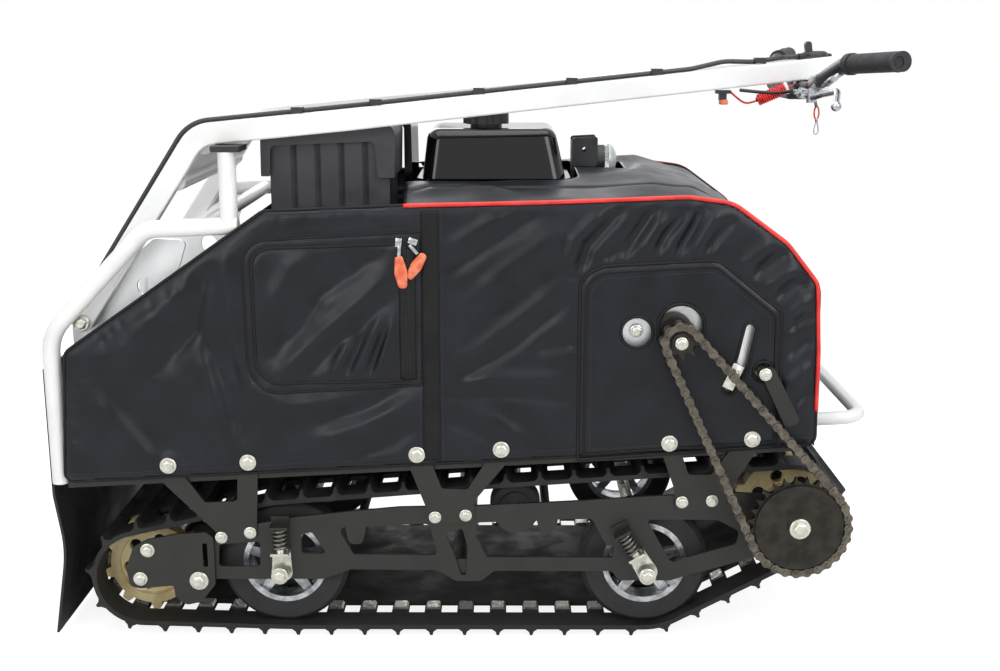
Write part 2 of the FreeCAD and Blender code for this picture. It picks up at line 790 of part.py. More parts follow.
def leaned(shape, x, lean):
    """Shape drawn about the wheel's axis at the origin, leaned back and moved to the wheel."""
    return turned(shape, x, ROAD_WHEEL_Z, lean)


def spring_yokes():
    """Folded bracket on each wheel axle, and the seat above it that the spring pushes on."""
    inner = SIDE_INNER_Y + SIDE_PLATE
    outer = SPRING_Y + SPRING_RADIUS + SPRING_WIRE + 1.0
    cheek = plate([(-16, -18, 14), (16, -18, 14), (13, 32, 3), (-13, 32, 3)], -inner, -(inner + 4.0))
    shelf = box(-13, 13, -inner, -outer, SPRING_BASE - 4.0, SPRING_BASE)
    boss = rod_y(0.0, 0.0, AXLE_RADIUS + 4.0, -(inner + 4.0), -(inner + 14.0))
    seat_z = SPRING_BASE + SPRING_HEIGHT
    seat = box(-13, 13, -inner, -outer, seat_z, seat_z + 4.0)
    lug = box(-13, 13, -inner, -(inner + 4.0), seat_z + 4.0, seat_z + 14.0)
    pin = Part.makeCylinder(SPRING_RADIUS - SPRING_WIRE - 1.0, 10.0, point(0, -SPRING_Y, SPRING_BASE))
    pieces = []
    for x, lean in SPRING_LEANS:
        pieces += pair(leaned(cheek.fuse([shelf, boss, pin]), x, lean))
        pieces += pair(leaned(seat.fuse(lug), x, lean))
    return pieces


def suspension_springs():
    """Round-wire compression springs between the axle yokes and their seats."""
    clear = SPRING_WIRE + 0.1
    height = SPRING_HEIGHT - 2.0 * clear
    helix = Part.makeHelix(height / SPRING_TURNS, height, SPRING_RADIUS)
    profile = Part.Wire([Part.makeCircle(SPRING_WIRE, point(SPRING_RADIUS, 0, 0), point(0, 1, 0))])
    coil = Part.Wire(helix).makePipeShell([profile], True, True)
    coil.translate(point(0, -SPRING_Y, SPRING_BASE + clear))
    pieces = []
    for x, lean in SPRING_LEANS:
        pieces += pair(leaned(coil, x, lean))
    return pieces


# ---------------------------------------------------------------- chain drive
def pitch_radius(teeth):
    return CHAIN_PITCH / (2.0 * math.sin(math.pi / teeth))


def chain_path(centres):
    """Pitch line round the two sprockets, with the driven one at the origin and +X to the pinion.

    Returns its runs, each (start distance, (kind, centre x, radius, angle)), and its whole length.
    """
    big, small = pitch_radius(SPROCKET_TEETH), pitch_radius(PINION_TEETH)
    spread = math.acos((big - small) / centres)
    straight = math.sqrt(centres ** 2 - (big - small) ** 2)
    items = []
    total = 0.0
    for length, item in (
        (big * (2.0 * math.pi - 2.0 * spread), ("arc", 0.0, big, spread)),
        (straight, ("line", 0.0, big, -spread)),
        (small * 2.0 * spread, ("arc", centres, small, -spread)),
        (straight, ("line", centres, small, spread)),
    ):
        items.append((total, item))
        total += length
    return items, total


def chain_spot(path, distance):
    items, total = path
    distance = distance % total
    start, (kind, x, radius, angle) = [item for item in items if item[0] <= distance][-1]
    run = distance - start
    if kind == "arc":
        here = angle + run / radius
        return x + radius * math.cos(here), radius * math.sin(here)
    heading = angle + math.pi / 2.0
    px, pz = x + radius * math.cos(angle), radius * math.sin(angle)
    return px + run * math.cos(heading), pz + run * math.sin(heading)


def chain_pins(centres):
    """Pin places one pitch apart, CHAIN_LINKS + 1 of them, and how far the last is past the first."""
    path = chain_path(centres)
    total = path[1]
    distance = 0.0
    spots = [chain_spot(path, distance)]
    for _ in range(CHAIN_LINKS):
        low, high = distance + 0.5 * CHAIN_PITCH, distance + 1.5 * CHAIN_PITCH
        for _ in range(50):
            middle = (low + high) / 2.0
            if math.dist(chain_spot(path, middle), spots[-1]) < CHAIN_PITCH:
                low = middle
            else:
                high = middle
        distance = (low + high) / 2.0
        spots.append(chain_spot(path, distance))
    return spots, distance - total


def solve_chain_centres():
    """Centre distance at which the chain closes on itself."""
    low, high = 200.0, 500.0
    for _ in range(50):
        middle = (low + high) / 2.0
        if chain_pins(middle)[1] > 0.0:
            low = middle
        else:
            high = middle
    return (low + high) / 2.0


CHAIN_CENTRES = solve_chain_centres()
PINION_X = DRIVE_X - CHAIN_CENTRES * math.sin(math.radians(CHAIN_LEAN))
PINION_Z = DRIVE_Z + CHAIN_CENTRES * math.cos(math.radians(CHAIN_LEAN))


def link_plate(half_pitch, y0, y1):
    """Figure-of-eight side plate between two pins."""
    round_end = CHAIN_PLATE_HEIGHT / 2.0
    waist = CHAIN_WAIST / 2.0
    meet = math.radians(50.0)
    inset = half_pitch - round_end * math.cos(meet)
    high = round_end * math.sin(meet)
    far = half_pitch + round_end
    low = min(y0, y1)
    face = Part.Face(Part.Wire([
        Part.Arc(point(inset, low, high), point(far, low, 0), point(inset, low, -high)).toShape(),
        Part.Arc(point(inset, low, -high), point(0, low, -waist), point(-inset, low, -high)).toShape(),
        Part.Arc(point(-inset, low, -high), point(-far, low, 0), point(-inset, low, high)).toShape(),
        Part.Arc(point(-inset, low, high), point(0, low, waist), point(inset, low, high)).toShape(),
    ]))
    return face.extrude(point(0, abs(y1 - y0), 0))


def inner_link():
    """Two plates on two rollers, with open bores for the pins."""
    half = CHAIN_PITCH / 2.0
    inside = CHAIN_INNER_WIDTH / 2.0
    outside = inside + CHAIN_PLATE
    body = link_plate(half, -outside, -inside).fuse(link_plate(half, inside, outside))
    rollers = [rod_y(x, 0.0, CHAIN_ROLLER / 2.0, -inside, inside) for x in (-half, half)]
    bores = [rod_y(x, 0.0, CHAIN_PIN / 2.0 + PIN_PLAY, -outside - 1.0, outside + 1.0) for x in (-half, half)]
    return body.fuse(rollers).cut(Part.makeCompound(bores))


def outer_link():
    """Two plates riveted on two pins."""
    half = CHAIN_PITCH / 2.0
    inside = CHAIN_INNER_WIDTH / 2.0 + CHAIN_PLATE + CHAIN_PLATE_GAP
    outside = inside + CHAIN_PLATE
    body = link_plate(half, -outside, -inside).fuse(link_plate(half, inside, outside))
    pins = [rod_y(x, 0.0, CHAIN_PIN / 2.0, -outside - 1.2, outside + 1.2) for x in (-half, half)]
    return body.fuse(pins)


def chain_frame(x, z):
    """Place on the machine of a point drawn in chain_path's own frame."""
    lean = math.radians(90.0 + CHAIN_LEAN)
    return DRIVE_X + x * math.cos(lean) - z * math.sin(lean), DRIVE_Z + x * math.sin(lean) + z * math.cos(lean)


def drive_chain():
    """Closed loop of alternating inner and outer links, each its own solid."""
    spots = [chain_frame(*spot) for spot in chain_pins(CHAIN_CENTRES)[0]]
    kinds = (inner_link(), outer_link())
    links = []
    for i in range(CHAIN_LINKS):
        (x0, z0), (x1, z1) = spots[i], spots[(i + 1) % CHAIN_LINKS]
        heading = math.degrees(math.atan2(z1 - z0, x1 - x0))
        link = turned(kinds[i % 2], (x0 + x1) / 2.0, (z0 + z1) / 2.0, heading)
        link.translate(point(0, CHAIN_Y, 0))
        links.append(link)
    return links


def sprocket_blank(teeth):
    """Toothed disc drawn about the Y axis, with a seat for a roller at angle 0."""
    pitch = pitch_radius(teeth)
    seat = CHAIN_ROLLER / 2.0 + SEAT_PLAY
    lean = math.radians(30.0)
    half_step = math.pi / teeth
    tip = CHAIN_PITCH / 2.0 * (TIP_FACTOR + 1.0 / math.tan(half_step))
    edge_r = pitch - seat * math.sin(lean)
    edge_t = seat * math.cos(lean)
    reach = (tip - edge_r) / math.cos(lean)
    top_r, top_t = edge_r + reach * math.cos(lean), edge_t + reach * math.sin(lean)
    limit = math.tan(half_step) * top_r - 0.4
    if top_t > limit:
        slope = math.tan(half_step)
        reach = (slope * edge_r - 0.4 - edge_t) / (math.sin(lean) - slope * math.cos(lean))
        top_r, top_t = edge_r + reach * math.cos(lean), edge_t + reach * math.sin(lean)

    def spot(radial, across, angle):
        x = radial * math.cos(angle) - across * math.sin(angle)
        z = radial * math.sin(angle) + across * math.cos(angle)
        return point(x, CHAIN_Y - TOOTH_WIDTH / 2.0, z)

    edges = []
    for i in range(teeth):
        angle = 2.0 * half_step * i
        ahead = angle + 2.0 * half_step
        edges.append(Part.LineSegment(spot(top_r, -top_t, angle), spot(edge_r, -edge_t, angle)).toShape())
        edges.append(Part.Arc(spot(edge_r, -edge_t, angle), spot(pitch - seat, 0.0, angle),
                              spot(edge_r, edge_t, angle)).toShape())
        edges.append(Part.LineSegment(spot(edge_r, edge_t, angle), spot(top_r, top_t, angle)).toShape())
        edges.append(Part.LineSegment(spot(top_r, top_t, angle), spot(top_r, -top_t, ahead)).toShape())
    blank = Part.Face(Part.Wire(edges)).extrude(point(0, TOOTH_WIDTH, 0))
    return blank.common(rod_y(0.0, 0.0, tip, CHAIN_Y - TOOTH_WIDTH, CHAIN_Y + TOOTH_WIDTH))


def seat_angle(x, z, teeth):
    """Angle, in degrees, of one chain pin that lies on the sprocket at (x, z)."""
    for spot in chain_pins(CHAIN_CENTRES)[0]:
        px, pz = chain_frame(*spot)
        if abs(math.hypot(px - x, pz - z) - pitch_radius(teeth)) < 1e-4:
            return math.degrees(math.atan2(pz - z, px - x))
    raise ValueError("no chain pin lies on this sprocket")


def driven_sprocket():
    """Toothed ring with a flat hub disc in front, on the drive shaft."""
    seat = seat_angle(DRIVE_X, DRIVE_Z, SPROCKET_TEETH)
    blank = turned(sprocket_blank(SPROCKET_TEETH), DRIVE_X, DRIVE_Z, seat)
    clear = pitch_radius(SPROCKET_TEETH) - CHAIN_PLATE_HEIGHT / 2.0 - 1.0
    front = CHAIN_Y - TOOTH_WIDTH / 2.0
    disc = rod_y(DRIVE_X, DRIVE_Z, clear, front - HUB_DISC, front)
    hub = rod_y(DRIVE_X, DRIVE_Z, SHAFT_RADIUS + 11.0, front + TOOTH_WIDTH, front + TOOTH_WIDTH + 16.0)
    return blank.fuse([disc, hub]).cut(hole(DRIVE_X, DRIVE_Z, SHAFT_RADIUS))


def drive_pinion():
    """Small sprocket on the end of the gearbox output shaft, held by a flat-headed bolt."""
    seat = seat_angle(PINION_X, PINION_Z, PINION_TEETH)
    blank = turned(sprocket_blank(PINION_TEETH), PINION_X, PINION_Z, seat)
    front = CHAIN_Y - TOOTH_WIDTH / 2.0
    head = rod_y(PINION_X, PINION_Z, PINION_HEAD, front - 7.0, front)
    shaft = rod_y(PINION_X, PINION_Z, PINION_SHAFT, front + TOOTH_WIDTH, -(SIDE_INNER_Y + SIDE_PLATE))
    return blank.fuse([head, shaft])


def gearbox_plate():
    """Zinc-plated plate behind the cover's openings, standing on the deck wall."""
    y = SIDE_INNER_Y + SIDE_PLATE
    low = DECK_WALL_RISE + 1.0
    outline = [(225, deck_z(225) + low, 4), (450, deck_z(450) + low, 4), (452, 470, 20), (405, 520, 20),
               (232, 515, 20)]
    boss = rod_y(PINION_X, PINION_Z, PINION_SHAFT + 16.0, -y, -(y + 4.0))
    return plate(outline, -(y - SIDE_PLATE), -y).fuse(boss).cut(hole(PINION_X, PINION_Z, PINION_SHAFT + 0.5))


def reverse_lever():
    """Lever with a hook end, on a pin through the cover's side."""
    y = SIDE_INNER_Y + SIDE_PLATE + COVER_SKIN + 14.0
    arm = plate([(430, 437, 10), (456, 430, 10), (498, 350, 8), (476, 342, 8)], -y, -(y + 5.0))
    pin = rod_y(443, 422, 8.0, -(SIDE_INNER_Y + SIDE_PLATE), -(y + 9.0))
    return arm.fuse(pin)


# ---------------------------------------------------------------- body
def deck_outline(rise_low, rise_high):
    return [
        (DECK_REAR_X, deck_z(DECK_REAR_X) + rise_low), (DECK_FRONT_X, deck_z(DECK_FRONT_X) + rise_low),
        (DECK_FRONT_X, deck_z(DECK_FRONT_X) + rise_high), (DECK_REAR_X, deck_z(DECK_REAR_X) + rise_high),
    ]


def chassis_tray():
    half = SIDE_INNER_Y + SIDE_PLATE
    body = plate(deck_outline(-DECK_FLOOR_DROP, DECK_WALL_RISE), -half, half)
    inside = plate([
        (DECK_REAR_X + DECK_SHEET, deck_z(DECK_REAR_X) - DECK_FLOOR_DROP + DECK_SHEET),
        (DECK_FRONT_X - DECK_SHEET, deck_z(DECK_FRONT_X) - DECK_FLOOR_DROP + DECK_SHEET),
        (DECK_FRONT_X - DECK_SHEET, 600.0), (DECK_REAR_X + DECK_SHEET, 600.0),
    ], -half + DECK_SHEET, half - DECK_SHEET)
    return body.cut(inside)


def engine_block():
    """Engine and gearbox under the cover: one plain block, stepped where the tank stands."""
    floor = deck_z(-240.0) - DECK_FLOOR_DROP + DECK_SHEET + 23.5
    low = box(-240.0, 190.0, -150.0, 160.0, floor, 555.0)
    high = box(-60.0, 190.0, -150.0, 160.0, 555.0, 640.0)
    foot_low = -DECK_FLOOR_DROP + DECK_SHEET + 0.3
    feet = plate(deck_outline(foot_low, foot_low + 45.0), -100.0, 110.0)
    feet = feet.common(box(-220.0, 170.0, -150.0, 160.0, 200.0, 400.0))
    return low.fuse([high, feet]).removeSplitter()


def fuel_tank():
    """Pressed steel tank with leaning sides, round corners and a crimped seam at its foot."""
    low, high = 640.0, 753.0
    foot = level_ring(-54.0, 175.0, -127.0, 62.0, 22.0, low)
    roof = level_ring(-40.0, 150.0, -114.0, 49.0, 22.0, high)
    body = Part.makeLoft([foot, roof], True, True)
    body = body.makeFillet(18.0, [edge for edge in body.Edges if edge.BoundBox.ZMin > high - 0.5])
    rim = Part.Face(level_ring(-57.0, 174.0, -130.0, 65.0, 25.0, TANK_SEAM_Z))
    return body.fuse(rim.extrude(point(0, 0, 4.0)))


def fuel_cap():
    """Screw cap with a lobed rim, on the tank's neck."""
    x, y = CAP_PLACE
    neck = Part.makeCylinder(CAP_RADIUS - 11.0, 8.0, point(x, y, 753.2))
    lid = Part.makeCylinder(CAP_RADIUS, 20.0, point(x, y, 758.0))
    lid = lid.makeFillet(2.5, [edge for edge in lid.Edges if edge.BoundBox.ZMin > 777.0])
    for i in range(CAP_LOBES):
        angle = 2.0 * math.pi * i / CAP_LOBES
        reach = CAP_RADIUS + 5.0
        spot = point(x + reach * math.cos(angle), y + reach * math.sin(angle), 750.0)
        lid = lid.cut(Part.makeCylinder(8.0, 60.0, spot))
    return neck.fuse(lid)


def air_filter_box():
    """Air filter housing: pleated box under a thick bent rim."""
    front, back = -190.0, -45.0
    body = box(-265.0, -92.0, front + 9.0, back, 560.0, 744.0)
    grooves = []
    for i in range(FILTER_PLEATS):
        x = -265.0 + 173.0 * (i + 1.0) / (FILTER_PLEATS + 1.0)
        corner = [point(x - 5.0, front + 8.9, 556.0), point(x + 5.0, front + 8.9, 556.0),
                  point(x, front + 13.0, 556.0)]
        grooves.append(Part.Face(Part.makePolygon(corner + [corner[0]])).extrude(point(0, 0, 200.0)))
    body = body.cut(Part.makeCompound(grooves))
    rim = plate([(-277, 690, 2), (-264, 690, 2), (-262, 734, 8), (-112, 740, 8), (-108, 688, 2), (-84, 688, 2),
                 (-82, 764, 16), (-180, 768, 200), (-276, 761, 18)], front, back)
    return body.fuse(rim)


def engine_shroud():
    """Glossy cover of the engine's fan end, beside the air filter."""
    return plate([(-81, 560, 4), (-67, 560, 4), (-70, 762, 14), (-118, 784, 12), (-150, 784, 4),
                  (-150, 769.5, 2), (-96, 769, 14), (-81, 750, 6)], -40.0, 120.0)


def headlight_housing():
    """Work lamp's shell between the two ears of its bracket, on a foot."""
    x0, x1 = LAMP_X
    ears = []
    for side in (-1, 1):
        inner = side * (LAMP_RADIUS + 1.0)
        ear = plate([(x0 - 22, LAMP_Z - 8, 6), (x0 + 18, LAMP_Z - 8, 6), (x0 + 18, LAMP_Z + 38, 4),
                     (x0 - 22, LAMP_Z + 36, 4)], inner, inner + side * 4.0, [hole(x0 - 2.0, LAMP_Z + 18.0, 4.0)])
        ears.append(ear)
    back = box(x0 - 22.0, x0 - 18.0, -LAMP_RADIUS - 5.0, LAMP_RADIUS + 5.0, 642.0, LAMP_Z + 30.0)
    shell = Part.makeCylinder(LAMP_RADIUS + 1.5, x1 - x0, point(x0, 0, LAMP_Z), point(1, 0, 0))
    shell = shell.makeFillet(8.0, [edge for edge in shell.Edges if edge.BoundBox.XMax < x0 + 0.5])
    stem = Part.makeCylinder(9.0, 24.0, point(x0 - 20.0, 0, LAMP_Z), point(1, 0, 0))
    return back.fuse(ears + [shell, stem])


def headlight_lens():
    """Domed lens in the front of the lamp's shell."""
    x1 = LAMP_X[1]
    ball = Part.makeSphere(46.0, point(x1 + 12.0 - 46.0, 0, LAMP_Z))
    return ball.common(Part.makeCylinder(LAMP_RADIUS, 40.0, point(x1 + 0.05, 0, LAMP_Z), point(1, 0, 0)))


def cover_side_outline(lift):
    rear_x, front_x = -566.0, 524.0
    return [
        (rear_x, deck_z(rear_x) - 20.0, 12), (front_x, deck_z(front_x) - 24.0, 14),
        (518, 545, 40), (470, 605, 50), (392, 662, 60), (330, 670 + lift, 60), (150, 663 + lift, 60),
        (-66, 658, 30), (-262, 650, 14), (-553, 447, 18),
    ]


def cover_side(side):
    """Side of the cover. The right one is open round the pinion, an inspection plate and the lever."""
    inner = SIDE_INNER_Y + SIDE_PLATE + HANGER_PLATE + COVER_GAP
    cuts = []
    if side < 0:
        cuts.append(hole(PINION_X + 3.0, PINION_Z + 16.0, 33.0))
        cuts.append(hole(443, 422, 14.0))
        cuts.append(hole(262, 479, 23.0))
        slot = [(384, 392, 8), (401, 386, 8), (421, 425, 40), (432, 488, 8), (416, 498, 8), (404, 440, 40)]
        cuts.append(window(slot))
    return plate(cover_side_outline(0.0), side * inner, side * (inner + COVER_SKIN), cuts)


def hood_body(inset):
    """Solid under the hood's skin: a front-to-back outline, crowned across."""
    half = SIDE_INNER_Y + SIDE_PLATE + HANGER_PLATE + COVER_GAP - 0.5
    low = deck_z(524.0) - 20.0
    top = 692.0 - inset
    front = 522.0 - inset
    along = plate([
        (-64, low - 1.0), (front, low - 1.0), (front - 6.0, 545, 40), (468.0 - inset, 603, 50),
        (415.0 - inset, 645 - inset, 60), (338, top, 60), (-64, top),
    ], -half, half)
    rise = 30.0
    edge = top - rise
    arch = Part.Arc(point(-64, -half, edge), point(-64, 0, top), point(-64, half, edge)).toShape()
    sill = Part.makePolygon([point(-64, half, edge), point(-64, half, low), point(-64, -half, low),
                             point(-64, -half, edge)])
    across = Part.Face(Part.Wire([arch] + sill.Edges)).extrude(point(front + 64.0, 0, 0))
    return along.common(across)


def cover_hood():
    """Fabric over the top and front, from the tank to the bumper, open round the tank and lamp."""
    inner = hood_body(COVER_SKIN)
    inner.translate(point(0, 0, -0.01))
    cuts = [inner, box(-70, 184, -158, 78, 500, 800), box(150, 262, -46, 46, 500, 800)]
    for side in (-1, 1):
        start = point(480, side * BUMPER_Y, bumper_z())
        cuts.append(Part.makeCylinder(BUMPER_TUBE + 1.5, 80.0, start, point(1, 0, 0)))
    skin = hood_body(0.0)
    for tool in cuts:
        skin = skin.cut(tool)
    return skin.common(box(-64, 600, -400, 400, deck_z(524.0) - 20.0, 900))


# ---------------------------------------------------------------- rear guard, flap, bumper, hitch
def guard_rear_x():
    """Middle line of the guard's uprights, against the back wall of the deck."""
    return DECK_REAR_X - GUARD_TUBE


def rear_guard(side):
    """Bent tube along the rear corner, with the upright that the drawbar rests on."""
    y = side * GUARD_Y
    rail = round_tube(
        [point(guard_rear_x(), y, deck_z(DECK_REAR_X) - DECK_FLOOR_DROP + 6.0), point(guard_rear_x(), y, 470),
         point(-432, y, 622), point(GUARD_POST_X + GUARD_TUBE, y, 628)],
        [70.0, 40.0], GUARD_TUBE)
    post = rod(point(GUARD_POST_X, y, 628), point(GUARD_POST_X, y, pad_top() - PAD_THICKNESS), GUARD_TUBE)
    return rail.fuse(post)


def pad_top():
    """Just under the drawbar's long arm."""
    knee_x, knee_z = DRAWBAR_KNEE
    end_x, end_z = DRAWBAR_END
    slope = (end_z - knee_z) / (end_x - knee_x)
    middle = knee_z + (GUARD_POST_X - knee_x) * slope
    drop = DRAWBAR_TUBE / 2.0 * math.hypot(1.0, slope)
    return middle - drop - slope * 20.0 - PAD_GAP


def guard_pads():
    """Rubber blocks on the uprights that the folded drawbar lies on."""
    top = pad_top()
    inner = DRAWBAR_LEG_Y - DRAWBAR_WALL_WIDTH / 2.0
    pieces = []
    for side in (-1, 1):
        pieces.append(box(GUARD_POST_X - 20, GUARD_POST_X + 20, side * inner, side * (GUARD_Y + GUARD_TUBE),
                          top - PAD_THICKNESS, top))
    return pieces


def rear_guard_cross():
    y = GUARD_Y - GUARD_TUBE
    x = guard_rear_x()
    low = rod(point(x, -y, HITCH_Z), point(x, y, HITCH_Z), GUARD_TUBE)
    high = rod(point(GUARD_POST_X - 40.0, -y, 626), point(GUARD_POST_X - 40.0, y, 626), GUARD_TUBE - 1.5)
    return [low, high]


def mud_flap():
    """Rubber flap behind the track, hung from the guard, with a gap for the hitch."""
    x = guard_rear_x() - GUARD_TUBE
    skin = FLAP_THICKNESS
    outline = [
        (x - skin, 418, 1), (x, 418, 1), (x, 225, 80), (x + 12, 140, 200), (x - 10, 6, 1),
        (x - 10 - skin, 6, 1), (x + 12 - skin, 140, 200), (x - skin, 225, 80),
    ]
    half = HITCH_WIDTH / 2.0 + 8.0
    gap = box(x - 60, x + 60, -half, half, HITCH_Z - 30, HITCH_Z + 30)
    return plate(outline, -TRACK_WIDTH / 2.0, TRACK_WIDTH / 2.0, [gap])


def bumper_z():
    return deck_z(DECK_FRONT_X) + 4.0


def front_bumper():
    """Bent tube in front of the cover, welded to the deck's front wall."""
    y = BUMPER_Y
    points = [
        point(DECK_FRONT_X, -y, bumper_z()), point(530, -y, bumper_z()), point(606, -y, bumper_z() - 1.0 + 5.0),
        point(606, y, bumper_z() + 4.0), point(530, y, bumper_z()), point(DECK_FRONT_X, y, bumper_z()),
    ]
    return round_tube(points, [60.0, 32.0, 32.0, 60.0], BUMPER_TUBE)


def tow_hitch():
    """Clevis on the guard's low cross tube, for the pin of a towed sledge."""
    x = guard_rear_x()
    half = HITCH_WIDTH / 2.0
    root = x - GUARD_TUBE * 0.6
    jaw = plate([(root, HITCH_Z - 21, 1), (root, HITCH_Z + 21, 1), (HITCH_PIN_X - 20, HITCH_Z + 21, 1),
                 (HITCH_PIN_X - 20, HITCH_Z - 21, 1)], -half, half)
    slot = plate([(x - 32, HITCH_Z - 15, 2), (x - 32, HITCH_Z + 15, 2), (HITCH_PIN_X - 40, HITCH_Z + 15, 2),
                  (HITCH_PIN_X - 40, HITCH_Z - 15, 2)], -half - 5, half + 5)
    pin = Part.makeCylinder(HITCH_PIN_RADIUS, 100.0, point(HITCH_PIN_X, 0, HITCH_Z - 50))
    tube = rod_y(x, HITCH_Z, GUARD_TUBE, -half - 5, half + 5)
    return jaw.cut(slot).cut(pin).cut(tube)


def pivot_brackets():
    """Plates on the tray that carry the drawbar's pivot bolts."""
    pieces = []
    outer = DRAWBAR_LEG_Y - DRAWBAR_WALL_WIDTH / 2.0 - PIVOT_GAP
    outline = [
        (-556, 290, 4), (-500, 290, 4), (-500, 430, 20), (-470, 490, 20), (-398, 560, 10), (-385, 600, 8),
        (-432, 602, 10), (-552, 505, 20), (-560, 470, 20),
    ]
    for side in (-1, 1):
        ear = plate(outline, side * (outer - SIDE_PLATE), side * outer, [hole(-447, 532, 14.0)])
        tip = side * (DRAWBAR_LEG_Y + DRAWBAR_WALL_WIDTH / 2.0 + PIVOT_GAP)
        bolt = rod_y(PIVOT_X, PIVOT_Z, PIVOT_RADIUS - PIVOT_PLAY, side * (outer - 1.0), tip)
        head = rod_y(PIVOT_X, PIVOT_Z, 12.0, tip, tip + side * 3.5)
        pieces.append(ear.fuse([bolt, head]))
    return pieces


# ---------------------------------------------------------------- drawbar
def round_bar_y(x0, z0, x1, z1, radius, y0, y1):
    """Bar along Y whose section is a slot: two half circles joined by straight sides."""
    run = math.hypot(x1 - x0, z1 - z0)
    across_x = (z1 - z0) / run * radius
    across_z = -(x1 - x0) / run * radius
    middle = plate([(x0 + across_x, z0 + across_z), (x1 + across_x, z1 + across_z),
                    (x1 - across_x, z1 - across_z), (x0 - across_x, z0 - across_z)], y0, y1)
    return middle.fuse([rod_y(x0, z0, radius, y0, y1), rod_y(x1, z1, radius, y0, y1)])


def drawbar_rail(side):
    """Leg, knee and long arm of one side."""
    y = side * DRAWBAR_LEG_Y
    nose = side * DRAWBAR_NOSE_Y
    knee_x, knee_z = DRAWBAR_KNEE
    end_x, end_z = DRAWBAR_END
    share = (DRAWBAR_SPLAY_X - knee_x) / (end_x - knee_x)
    splay_z = knee_z + (end_z - knee_z) * share
    points = [point(PIVOT_X, y, PIVOT_Z), point(knee_x, y, knee_z), point(DRAWBAR_SPLAY_X, y, splay_z),
              point(end_x, nose, end_z)]
    bar = rect_tube(points, [DRAWBAR_BEND, 200.0], DRAWBAR_WALL_WIDTH, DRAWBAR_TUBE)
    half = DRAWBAR_WALL_WIDTH / 2.0
    eye = rod_y(PIVOT_X, PIVOT_Z, DRAWBAR_TUBE / 2.0, y - half, y + half)
    face = y + side * half
    (x0, z0), (x1, z1) = LEG_SLOT
    slot = round_bar_y(x0, z0, x1, z1, LEG_SLOT_RADIUS, face - side * LEG_SLOT_DEPTH, face + side * 2.0)
    return bar.fuse(eye).cut(hole(PIVOT_X, PIVOT_Z, PIVOT_RADIUS)).cut(slot)


def arm_z(x):
    """Height of the long arm's middle line at x."""
    knee_x, knee_z = DRAWBAR_KNEE
    end_x, end_z = DRAWBAR_END
    return knee_z + (end_z - knee_z) * (x - knee_x) / (end_x - knee_x)


def arm_y(x):
    """Distance of the long arm's middle line from the machine's middle at x."""
    share = max(0.0, (x - DRAWBAR_SPLAY_X) / (DRAWBAR_END[0] - DRAWBAR_SPLAY_X))
    return DRAWBAR_LEG_Y + (DRAWBAR_NOSE_Y - DRAWBAR_LEG_Y) * share


def drawbar_cross_tubes():
    inner = DRAWBAR_LEG_Y - DRAWBAR_WALL_WIDTH / 2.0
    knee_x, knee_z = DRAWBAR_KNEE
    low = rod_y(knee_x - 36.0, knee_z - 69.0, 12.0, -inner, inner)
    high = rod_y(knee_x + 6.0, knee_z - 17.0, 12.0, -inner, inner)
    nose_x = NOSE_X
    half = arm_y(nose_x + 22.0) - DRAWBAR_WALL_WIDTH / 2.0 - 1.0
    nose = box(nose_x - 22.0, nose_x + 22.0, -half, half, arm_z(nose_x) - 13.0, arm_z(nose_x) + 11.0)
    run = math.hypot(42.0, 52.0)
    skin_x = 52.0 / run * 1.5
    skin_z = 42.0 / run * 1.5
    web = plate([(knee_x - 36.0 - skin_x, knee_z - 69.0 + skin_z), (knee_x + 6.0 - skin_x, knee_z - 17.0 + skin_z),
                 (knee_x + 6.0 + skin_x, knee_z - 17.0 - skin_z), (knee_x - 36.0 + skin_x, knee_z - 69.0 - skin_z)],
                -inner, inner)
    return [low.fuse([high, web]), nose]


def bar_points():
    return [
        point(BAR_X + 69.0, -BAR_HALF, BAR_Z + 44.0), point(BAR_X + 26.0, -230, BAR_Z + 38.0),
        point(BAR_X, -130, BAR_Z), point(BAR_X, 130, BAR_Z),
        point(BAR_X + 26.0, 230, BAR_Z + 38.0), point(BAR_X + 69.0, BAR_HALF, BAR_Z + 44.0),
    ]


def handlebar():
    return round_tube(bar_points(), [50.0, 50.0, 50.0, 50.0], BAR_RADIUS)


def grips():
    """Rubber sleeves over the bar's ends."""
    pieces = []
    points = bar_points()
    for tip, knee in ((points[0], points[1]), (points[-1], points[-2])):
        along = knee.sub(tip)
        along.normalize()
        end = tip.sub(along * 4.0)
        sleeve = Part.makeCylinder(GRIP_RADIUS, GRIP_LENGTH - 10.0, end, along)
        flange = Part.makeCylinder(GRIP_RADIUS + 1.5, 10.0, end.add(along * (GRIP_LENGTH - 10.0)), along)
        core = Part.makeCylinder(BAR_RADIUS, GRIP_LENGTH + 20.0, tip, along)
        pieces.append(sleeve.fuse(flange).cut(core))
    return pieces


def handlebar_clamp():
    """Block that holds the bar under the drawbar's nose."""
    half = arm_y(NOSE_X) - 6.0
    top = arm_z(NOSE_X) - 17.0
    block = plate([(BAR_X - 17, BAR_Z - 17, 5), (BAR_X + 18, BAR_Z - 17, 5), (BAR_X + 42, BAR_Z + 2, 8),
                   (BAR_X + 40, top, 2), (BAR_X - 17, top - 5.0, 3)], -half, half)
    block = block.cut(rod_y(BAR_X, BAR_Z, BAR_RADIUS, -100, 100))
    tab_x = COIL_END[0] + 5.0
    tab = box(tab_x, tab_x + 4.5, COIL_END[1] - 4.0, -half + 1.0, COIL_END[2] - 5.0, COIL_END[2] + 4.0)
    return block.fuse(tab)


def perch_middle():
    """Point on the bar's middle line that the brake's clamp goes round."""
    points = bar_points()
    along = points[1].sub(points[2])
    along.normalize()
    return points[2].add(along * PERCH_ALONG), along


